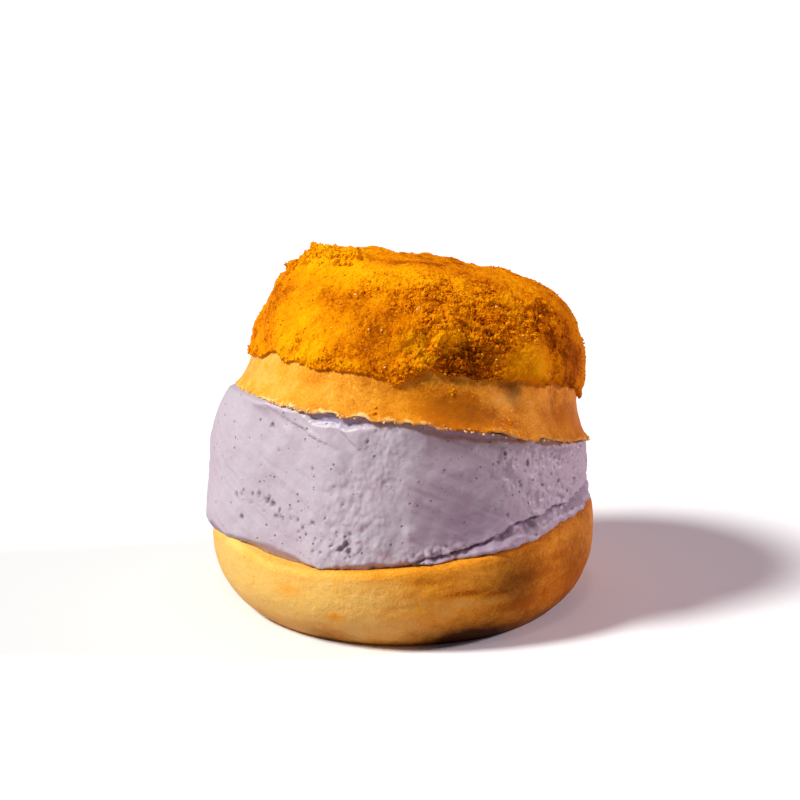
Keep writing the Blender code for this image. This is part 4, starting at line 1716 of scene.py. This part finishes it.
    def drape(self, sheet: Array) -> tuple[Array, Array, Array]:
        """Lays a square sheet over the even dome.

        Args:
            sheet: the sheet's points, from -1 to 1 each way.

        Returns:
            The points on the bread, the outward direction there, and how far each is from the crust's edge.
        """
        x, y = sheet[:, 0], sheet[:, 1]
        share = np.maximum(np.abs(x), np.abs(y))
        wide = np.abs(x) > np.abs(y)
        slope = np.where(wide, y / np.where(wide, x, 1), x / np.where(wide | (y == 0), 1, y))
        turn = np.where(wide, 45 * slope + 180 * (x < 0), 90 - 45 * slope + 180 * (y < 0))
        lengths, radii, heights = self.profile()
        edge_length = np.interp(-self.edge(turn), -heights, lengths)
        length = share * edge_length
        bread = around(turn, np.interp(length, lengths, radii), np.interp(length, lengths, heights))
        ahead, behind = length + self.stride, np.abs(length - self.stride)
        slope_out = np.interp(ahead, lengths, radii) - np.interp(behind, lengths, radii)
        slope_up = np.interp(ahead, lengths, heights) - np.interp(behind, lengths, heights)
        scale = np.maximum(np.hypot(slope_out, slope_up), TINY)
        away = around(turn, -slope_up / scale, slope_out / scale)
        return bread, away, edge_length - length

    def roughness(self, bread: Array) -> Array:
        """Works out where the crust is craggy.

        Args:
            bread: points on the even dome.

        Returns:
            How craggy it is at each, from 0.2 where it melted smooth to 1.
        """
        rough = np.ones(len(bread))
        for turn, height, width in self.smooth:
            middle = around(turn, self.frame.radius(np.array(height)), height)
            rough -= self.smoothing * hill(np.linalg.norm(bread - middle, axis=1), width)
        return np.clip(rough, self.least_rough, None)

    def crumbled(self, face: CrustFace) -> Array:
        """Works out where the crust is crumbled.

        Args:
            face: the dome under the crust.

        Returns:
            How crumbled it is at each point, from 0.12 to 1.
        """
        grain = face.within(self.grains) + 0.45 * hill(face.from_edge, 2.0 * MM)
        return np.clip(grain * (0.85 + 0.7 * face.clouds) + 0.12 + 0.15 * face.clouds, 0.12, 1)

    def breaks(self, face: CrustFace, grain: Array) -> tuple[Array, Array]:
        """Works out the cracks and the pits.

        Args:
            face: the dome under the crust.
            grain: how crumbled each point is.

        Returns:
            How much each point lies in a crack, and in a pit.
        """
        _, margin, _ = cells(face.bread * np.array((1, 1, 1.2)) + 4 * face.warp, 7 * MM)
        crack = hill(margin, 0.05) * np.clip(3 * rumple(face.bread + 0.8, 9 * MM, 2) + 0.3, 0, 1)
        near, _, chance = cells(face.bread + 0.9 + face.warp, 2.9 * MM)
        pit = hill(near, 0.2) * (chance > 0.6)
        return crack * np.clip(grain * 1.6, 0, 1), pit * np.clip(grain * 1.5, 0, 1)

    def relief(self, face: CrustFace) -> tuple[Array, Masks]:
        """Works out the crust's thickness and the masks that its finish reads.

        Args:
            face: the dome under the crust.

        Returns:
            The thickness at each point, and the masks grain, tone and dark: dark is painted shade in cracks,
            pits, creases and hollows, and tone is partly painted light and shade, paler on the lumps' tops
            and browner between them.
        """
        grain = self.crumbled(face)
        crack, pit = self.breaks(face, grain)
        crumb, fine, sand = face.crumb - 0.5, face.fine - 0.45, face.sand - 0.45
        thickness = self.thickness + face.within(self.forms + self.tapers)
        thickness += self.crag * self.roughness(face.bread) * (rumple(face.bread, 6.5 * MM) - 0.2)
        thickness += grain * (1.25 * MM * crumb + 0.65 * MM * fine)
        thickness += (0.07 + 0.08 * grain) * MM * rumple(face.bread, 0.9 * MM) + 0.22 * MM * sand
        thickness -= 0.5 * MM * crack + 0.65 * MM * pit
        rim = np.clip(1 - face.from_edge / self.edge_rounding, 0, None)
        thickness += (self.edge_thickness - thickness) * rim**2
        # painted shade in the creases between lumps, in cracks and pits, and in the shadows patches
        creases = 1.6 * np.clip(0.3 - face.fine, 0, 1) + 1.4 * np.clip(0.36 - face.crumb, 0, 1)
        dark = 0.4 * crack + 0.5 * pit + 0.45 * grain * creases
        dark += face.within(self.shadows) * (1 + 0.6 * face.clouds)
        tone = face.within(self.tones) + 0.35 * face.clouds
        # paler where crumbled, which is its own colour, and paler on the lumps' tops and browner between
        # them, which is painted light and shade
        tone -= grain * (0.3 + 0.7 * crumb + 0.5 * fine) + 0.5 * sand
        masks = {"grain": grain, "tone": tone, "dark": np.clip(dark, 0, 1)}
        return np.clip(thickness, self.thinnest, None), masks

    def build(self, finish: Material) -> Mesh:
        """Models the crust and dresses it.

        Args:
            finish: the crust's material.

        Returns:
            Its mesh, for the crumbs to lie on.
        """
        form = bmesh.new()
        bmesh.ops.create_grid(form, x_segments=self.cells, y_segments=self.cells, size=1)
        sheet = np.array([point.co for point in form.verts])
        bread, away, from_edge = self.drape(sheet)
        thickness, masks = self.relief(CrustFace(bread, from_edge, self.frame.radius))
        world = self.frame.to_world(self.frame.uneven(bread) + away * thickness[:, None])
        layers = {name: form.verts.layers.float.new(name) for name in masks}
        for index, point in enumerate(form.verts):
            point.co = world[index]
            for name, layer in layers.items():
                point[layer] = masks[name][index]
        self.close(form)
        mesh = mesh_of(form, "crust")
        add_piece("crust_baked", mesh, finish, "cookie_crust")
        return mesh

    def close(self, form: bmesh.types.BMesh) -> None:
        """Tucks the sheet's edge into the bread and closes it underneath.

        Args:
            form: the sheet, which is changed.
        """
        middle = self.frame.matrix() @ Vector((0, 0, self.edge_height))
        up = self.frame.matrix().to_3x3() @ Vector((0, 0, 1))
        edge = [side for side in form.edges if side.is_boundary]
        for tuck in self.tucks:
            made = bmesh.ops.extrude_edge_only(form, edges=edge)["geom"]
            for point in (item for item in made if isinstance(item, bmesh.types.BMVert)):
                inward = middle - point.co
                point.co += (inward - up * inward.dot(up)).normalized() * tuck
            edge = [item for item in made if isinstance(item, bmesh.types.BMEdge) and item.is_boundary]
        made = bmesh.ops.extrude_edge_only(form, edges=edge)["geom"]
        inside = [item for item in made if isinstance(item, bmesh.types.BMVert)]
        for point in inside:
            point.co = middle
        bmesh.ops.remove_doubles(form, verts=inside, dist=MERGE)
        bmesh.ops.recalc_face_normals(form, faces=form.faces)


# Crumbs and sugar


@dataclass
class Bed:
    """Places for lumps to lie: the surface's outward direction there, and each lump's tone and painted shade.
    """

    spots: Array
    outward: Array
    tones: Array
    painted_shades: Array | float = 0.0


@dataclass
class Crumbs:
    """Many small lumps, joined in one mesh and bedded on a surface."""

    name: str
    count: int
    smallest: float
    largest: float
    detail: int
    seed: int
    sink: float
    uneven: float
    # how much rarer large lumps are than small ones
    rarity: float = 2.2
    # how narrow and how wide a lump may be, as shares of its size
    stretch: Row = (0.45, 1.15)
    tone_spread: float = 0.25
    grain: float = 0.6

    def build(self, bed: Bed, finish: Material, slot: Slot) -> None:
        """Models the lumps.

        Args:
            bed: where they lie.
            finish: their material.
            slot: a material slot; not used.
        """
        draw = np.random.default_rng(self.seed)
        form = bmesh.new()
        bmesh.ops.create_icosphere(form, subdivisions=self.detail, radius=0.5)
        ball = np.array([point.co for point in form.verts])
        faces = np.array([[point.index for point in face.verts] for face in form.faces])
        form.free()
        total = len(bed.spots)
        sizes = self.smallest + (self.largest - self.smallest) * draw.random(total) ** self.rarity
        spin, _ = np.linalg.qr(draw.normal(size=(total, 3, 3)))
        lumps = ball[None] * (1 + self.uneven * draw.normal(size=(total, len(ball), 1)))
        lumps = lumps * draw.uniform(*self.stretch, (total, 1, 3))
        lumps = np.einsum("nij,nkj->nki", spin, lumps) * sizes[:, None, None]
        middles = bed.spots + bed.outward * (sizes * (0.5 - self.sink))[:, None]
        points = (lumps + middles[:, None]).reshape(-1, 3)
        inside_out = np.linalg.det(spin) < 0
        fans = np.where(inside_out[:, None, None], faces[None, :, ::-1], faces[None])
        fans = (fans + (np.arange(total) * len(ball))[:, None, None]).reshape(-1, 3)
        mesh = bpy.data.meshes.new(self.name)
        mesh.from_pydata(points.tolist(), [], fans.tolist())
        tones = bed.tones + self.tone_spread * draw.normal(size=total)
        put_mask(mesh, "tone", np.repeat(tones, len(ball)))
        # each lump keeps the painted shade of the place where it lies
        put_mask(mesh, "dark", np.repeat(np.zeros(total) + bed.painted_shades, len(ball)))
        put_mask(mesh, "grain", np.full(len(points), self.grain))
        add_piece(self.name, mesh, finish, smooth=False)


@dataclass
class Topping:
    """Chooses where crumbs and sugar lie on the finished pieces."""

    crust: Mesh
    frame: UpperFrame
    # how many of the crust's points belong to its draped sheet
    sheet_points: int
    # how much paler the crumbs are than the crust under them, as painted light on the raised crumbs, and how
    # much of the crust's painted shade they take
    lighter: float = 0.15
    shaded: float = 0.6
    # what is added to a kind's seed for the draw of its places
    places_seed: int = 1000
    # turn, radius, height and width of each clump on the ridge
    ridge: tuple[Row, ...] = in_mm(
        (-167, 35.5, 31.5, 2.5), (-166, 34.6, 33.5, 2), (-157, 33, 36, 3), (-149, 30.6, 37, 3),
        (-141, 29.6, 37, 2.5),
    )
    # the caramel patch and a few clumps, where the sugar glints
    sugary: tuple[Patch, ...] = patches(
        (-106, 22, 9, 7, 1), (-65, 26.9, 1.6, 1.6, 6), (-95, 18.7, 1, 1.2, 8), (-108, 25.8, 0.8, 0.8, 8),
        (-60, 18, 16, 8, 0.35), (80, 25, 30, 12, 0.2),
    )
    # turn, share of the crumbs, spread in degrees, height and spread in height of each group
    fallen_groups: tuple[Row, ...] = in_mm(
        (-79.5, 0.3, 0.55, 8.9, 0.5),
        (-103.5, 0.1, 0.55, 1.7, 0.5),
        (-60, 0.15, 0.55, 3, 0.5),
        (120, 0.45, 9.55, 6, 2.5),
        plain=3,
    )
    fallen_lowest: float = 0.6 * MM
    fallen_tone: float = -0.5

    def build(self, finishes: dict[str, Material]) -> None:
        """Models all the crumbs and the sugar.

        Args:
            finishes: the materials crumb, sugar and torn.
        """
        sheet = np.arange(len(self.crust.vertices)) < self.sheet_points
        clumps = rumple(points_of(self.crust), 4 * MM, 2)
        weight = sheet * np.clip(self.mask("grain") - 0.25, 0, 1) ** 1.2 * np.clip(0.5 + 1.4 * clumps, 0, 1)
        crumb, sugar, torn = finishes["crumb"], finishes["sugar"], finishes["torn"]
        big = Crumbs("crust_crumbs", 4200, 0.4 * MM, 1.25 * MM, 1, 11, 0.5, 0.34)
        self.on_crust(big, weight, crumb)
        small = Crumbs("crust_grit", 9800, 0.2 * MM, 0.6 * MM, 1, 12, 0.35, 0.34)
        self.on_crust(small, weight + 0.02 * sheet, crumb)
        grains = Crumbs("sugar_grains", 75, 0.22 * MM, 0.8 * MM, 1, 13, 0.35, 0.3)
        self.on_crust(grains, self.sugar_weight() * sheet, sugar)
        largest = Crumbs("ridge_crumbs", 300, 0.5 * MM, 2.2 * MM, 2, 16, 0.5, 0.24)
        self.on_crust(largest, self.ridge_weight() * sheet, crumb)
        self.fallen(Crumbs("fallen_crumbs", 40, 0.3 * MM, 1.1 * MM, 1, 15, 0.35, 0.34), crumb)
        self.on_rim(Crumbs("rim_crumbs", 420, 0.2 * MM, 0.9 * MM, 1, 14, 0.55, 0.32), torn)

    def mask(self, name: str) -> Array:
        """One of the masks that the crust's mesh stores."""
        return read(self.crust.attributes[name].data, "value")

    def draw_for(self, crumbs: Crumbs) -> np.random.Generator:
        """The generator that the places of one kind are drawn from."""
        return np.random.default_rng(crumbs.seed + self.places_seed)

    def on_crust(self, crumbs: Crumbs, weight: Array, finish: Material) -> None:
        """Scatters crumbs over the crust, thickest where the weight is highest.

        Args:
            crumbs: the kind.
            weight: how thickly they lie at each of the crust's points.
            finish: their material.
        """
        chance = weight * point_areas(self.crust)
        draw = self.draw_for(crumbs)
        chosen = draw.choice(len(chance), crumbs.count, replace=False, p=chance / chance.sum())
        tones = self.mask("tone")[chosen] - self.lighter
        painted_shades = self.shaded * self.mask("dark")[chosen]
        bed = Bed(points_of(self.crust)[chosen], normals_of(self.crust)[chosen], tones, painted_shades)
        crumbs.build(bed, finish, Slot.COOKIE)

    def ridge_weight(self) -> Array:
        """Works out where the biggest crumbs lie: on the ridge at the top left.

        Returns:
            How thickly they lie at each of the crust's points.
        """
        local = self.frame.to_local(points_of(self.crust))
        total = np.zeros(len(local))
        for turn, radius, height, width in self.ridge:
            total += hill(np.linalg.norm(local - around(turn, radius, height), axis=1), width)
        return total

    def sugar_weight(self) -> Array:
        """Works out where the sugar glints.

        Returns:
            How thickly it lies at each of the crust's points.
        """
        x, y, height = self.frame.to_local(points_of(self.crust)).T
        return patched(self.sugary, turn_of(x, y), height, np.hypot(x, y), self.frame.radius)

    def on_rim(self, crumbs: Crumbs, finish: Material) -> None:
        """Scatters torn crumb along the upper half's cut edge.

        Args:
            crumbs: the kind.
            finish: its material.
        """
        draw = self.draw_for(crumbs)
        turn = draw.uniform(-180, 180, crumbs.count * 8)
        clumps = rumple(around(turn, 1, 0 * turn), 0.12, 2)
        likely = 0.08 + 1.1 * sector(turn, -130, 24) + 0.4 * sector(turn, -80, 7)
        keep = draw.random(len(turn)) < likely * np.clip(0.4 + 1.6 * clumps, 0, 1)
        turn = turn[keep][: crumbs.count]
        height = np.abs(draw.normal(0, 0.4 * MM, len(turn)))
        radius = self.frame.radius(height) + draw.normal(0, 0.15 * MM, len(turn))
        local = around(turn, radius, height)
        local[:, 2] -= self.frame.droop(local[:, 0], local[:, 1])
        spots = self.frame.to_world(local)
        outward = (spots - self.frame.to_world(np.zeros((1, 3)))) * np.array((1, 1, 0.3))
        outward /= np.linalg.norm(outward, axis=1)[:, None]
        crumbs.build(Bed(spots, outward, draw.random(len(spots))), finish, Slot.BREAD)

    def fallen(self, crumbs: Crumbs, finish: Material) -> None:
        """Lays the few crumbs of crust that have fallen on the upper half's bread.

        Args:
            crumbs: the kind.
            finish: its material.
        """
        draw = self.draw_for(crumbs)
        turns, heights = [], []
        for turn, share, spread, height, rise in self.fallen_groups:
            many = round(crumbs.count * share)
            turns.append(turn + draw.normal(0, spread, many))
            heights.append(height + draw.normal(0, rise, many))
        turn = np.concatenate(turns)
        height = np.clip(np.concatenate(heights), self.fallen_lowest, None)
        local = around(turn, self.frame.radius(height), height)
        outward = around(turn, 1, 0 * turn) @ np.array(self.frame.matrix())[:3, :3].T
        spots = self.frame.to_world(self.frame.uneven(local))
        crumbs.build(Bed(spots, outward, np.full(len(turn), self.fallen_tone)), finish, Slot.COOKIE)


# The studio


@dataclass(frozen=True)
class Sun:
    """A soft sun lamp: where it shines from and how wide it looks, in degrees, its power and its colour."""

    name: str
    turn: float
    elevation: float
    angle: float
    power: float
    colour: Colour

    def build(self) -> None:
        """Adds the lamp, which lights the whole floor evenly."""
        data = bpy.data.lights.new(self.name, "SUN")
        data.angle = math.radians(self.angle)
        data.energy = self.power
        data.color = self.colour
        lamp = bpy.data.objects.new(self.name, data)
        lamp.rotation_euler = (0, math.radians(90 - self.elevation), math.radians(self.turn))
        bpy.context.scene.collection.objects.link(lamp)


@dataclass
class Studio:
    """The camera, the lights and the plain pale floor."""

    lens: float = 80.0
    sensor: float = 36.0
    nearest: float = 10 * MM
    distance: float = 450 * MM
    elevation: float = math.radians(14)
    aim: float = 50.45 * MM
    floor_size: float = 15.0
    paper: tuple[Colour, Colour] = ((0.955, 0.97, 0.97), (0.97, 0.985, 0.985))
    bounce: Colour = (0.53, 0.44, 0.485)
    sky: Colour = (1.0, 0.82, 0.93)
    sky_strength: float = 0.1
    suns: tuple[Sun, ...] = (
        Sun("key", -160, 44, 14, 3.85, (0.99, 1.0, 0.972)),
        Sun("fill", 4, 28, 9, 1.6, (1.0, 0.785, 0.90)),
        Sun("top", -95, 62, 8, 0.15, (1.0, 0.97, 0.97)),
    )

    def build(self) -> None:
        """Sets up the studio."""
        self.add_camera()
        self.add_floor()
        for sun in self.suns:
            sun.build()
        world = bpy.data.worlds.new("studio")
        bpy.context.scene.world = world
        world.use_nodes = True
        background = world.node_tree.nodes["Background"]
        background.inputs["Color"].default_value = (*self.sky, 1)
        background.inputs["Strength"].default_value = self.sky_strength
        bpy.context.scene.view_settings.view_transform = "Standard"
        log.info("studio: %d lamps, lens %.0f mm", len(self.suns), self.lens)

    def add_camera(self) -> None:
        """Adds the camera, in front of the bun and a little above it."""
        data = bpy.data.cameras.new("camera")
        data.lens = self.lens
        data.sensor_width = self.sensor
        data.clip_start = self.nearest
        camera = bpy.data.objects.new("camera", data)
        back = self.distance * math.cos(self.elevation)
        camera.location = (0, -back, self.aim + self.distance * math.sin(self.elevation))
        camera.rotation_euler = (math.pi / 2 - self.elevation, 0, 0)
        bpy.context.scene.collection.objects.link(camera)
        bpy.context.scene.camera = camera

    def add_floor(self) -> None:
        """Adds the wide, pale floor under the bun."""
        form = bmesh.new()
        bmesh.ops.create_grid(form, x_segments=1, y_segments=1, size=self.floor_size)
        mesh = mesh_of(form, "floor")
        material, sheet, shader = fresh_material("floor_paper", {"Roughness": 0.9, "Specular IOR Level": 0.1})
        speck = sheet.noise(sheet.place(), 900.0, 2)
        paper = sheet.blend(sheet.span(speck, 0.3, 0.7), *self.paper)
        seen = sheet.add("ShaderNodeLightPath").outputs["Is Camera Ray"]
        sheet.feed(shader, Base_Color=sheet.blend(seen, self.bounce, paper))
        mesh.materials.append(material)
        floor = bpy.data.objects.new("floor", mesh)
        bpy.context.scene.collection.objects.link(floor)


def main() -> None:
    """Builds the bun's pieces in order, and then the studio."""
    logging.basicConfig(level=logging.INFO, format="%(name)s: %(message)s")
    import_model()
    effects = Effects(mottle_group(), grain_group())
    skin = BreadSkin("bread_skin", (0.96, 0.61, 0.15), (0.95, 0.39, 0.028), (0.55, 0.15, 0.003))
    skin_material = skin.material(effects)
    finishes = {
        "crust": CookieBake("cookie_crust_bake").material(effects),
        "crumb": CookieBake("cookie_crumb_bake").material(effects),
        "torn": PlainCrumb("bread_torn", (0.94, 0.70, 0.34), (0.86, 0.46, 0.12), 0.8, 0.05).material(effects),
        "sugar": PlainCrumb("sugar", (0.95, 0.68, 0.25), (0.92, 0.48, 0.08), 0.45, 0.12).material(effects),
    }
    lower, upper = LowerBun(), UpperFrame()
    lower.build(skin_material)
    CreamFilling(lower, upper).build(WhippedCream().material(effects))
    UpperBun(upper).build(skin_material)
    cookie = CookieCrust(upper)
    crust = cookie.build(finishes["crust"])
    Topping(crust, upper, (cookie.cells + 1) ** 2).build(finishes)
    Studio().build()


if __name__ == "__main__":
    main()
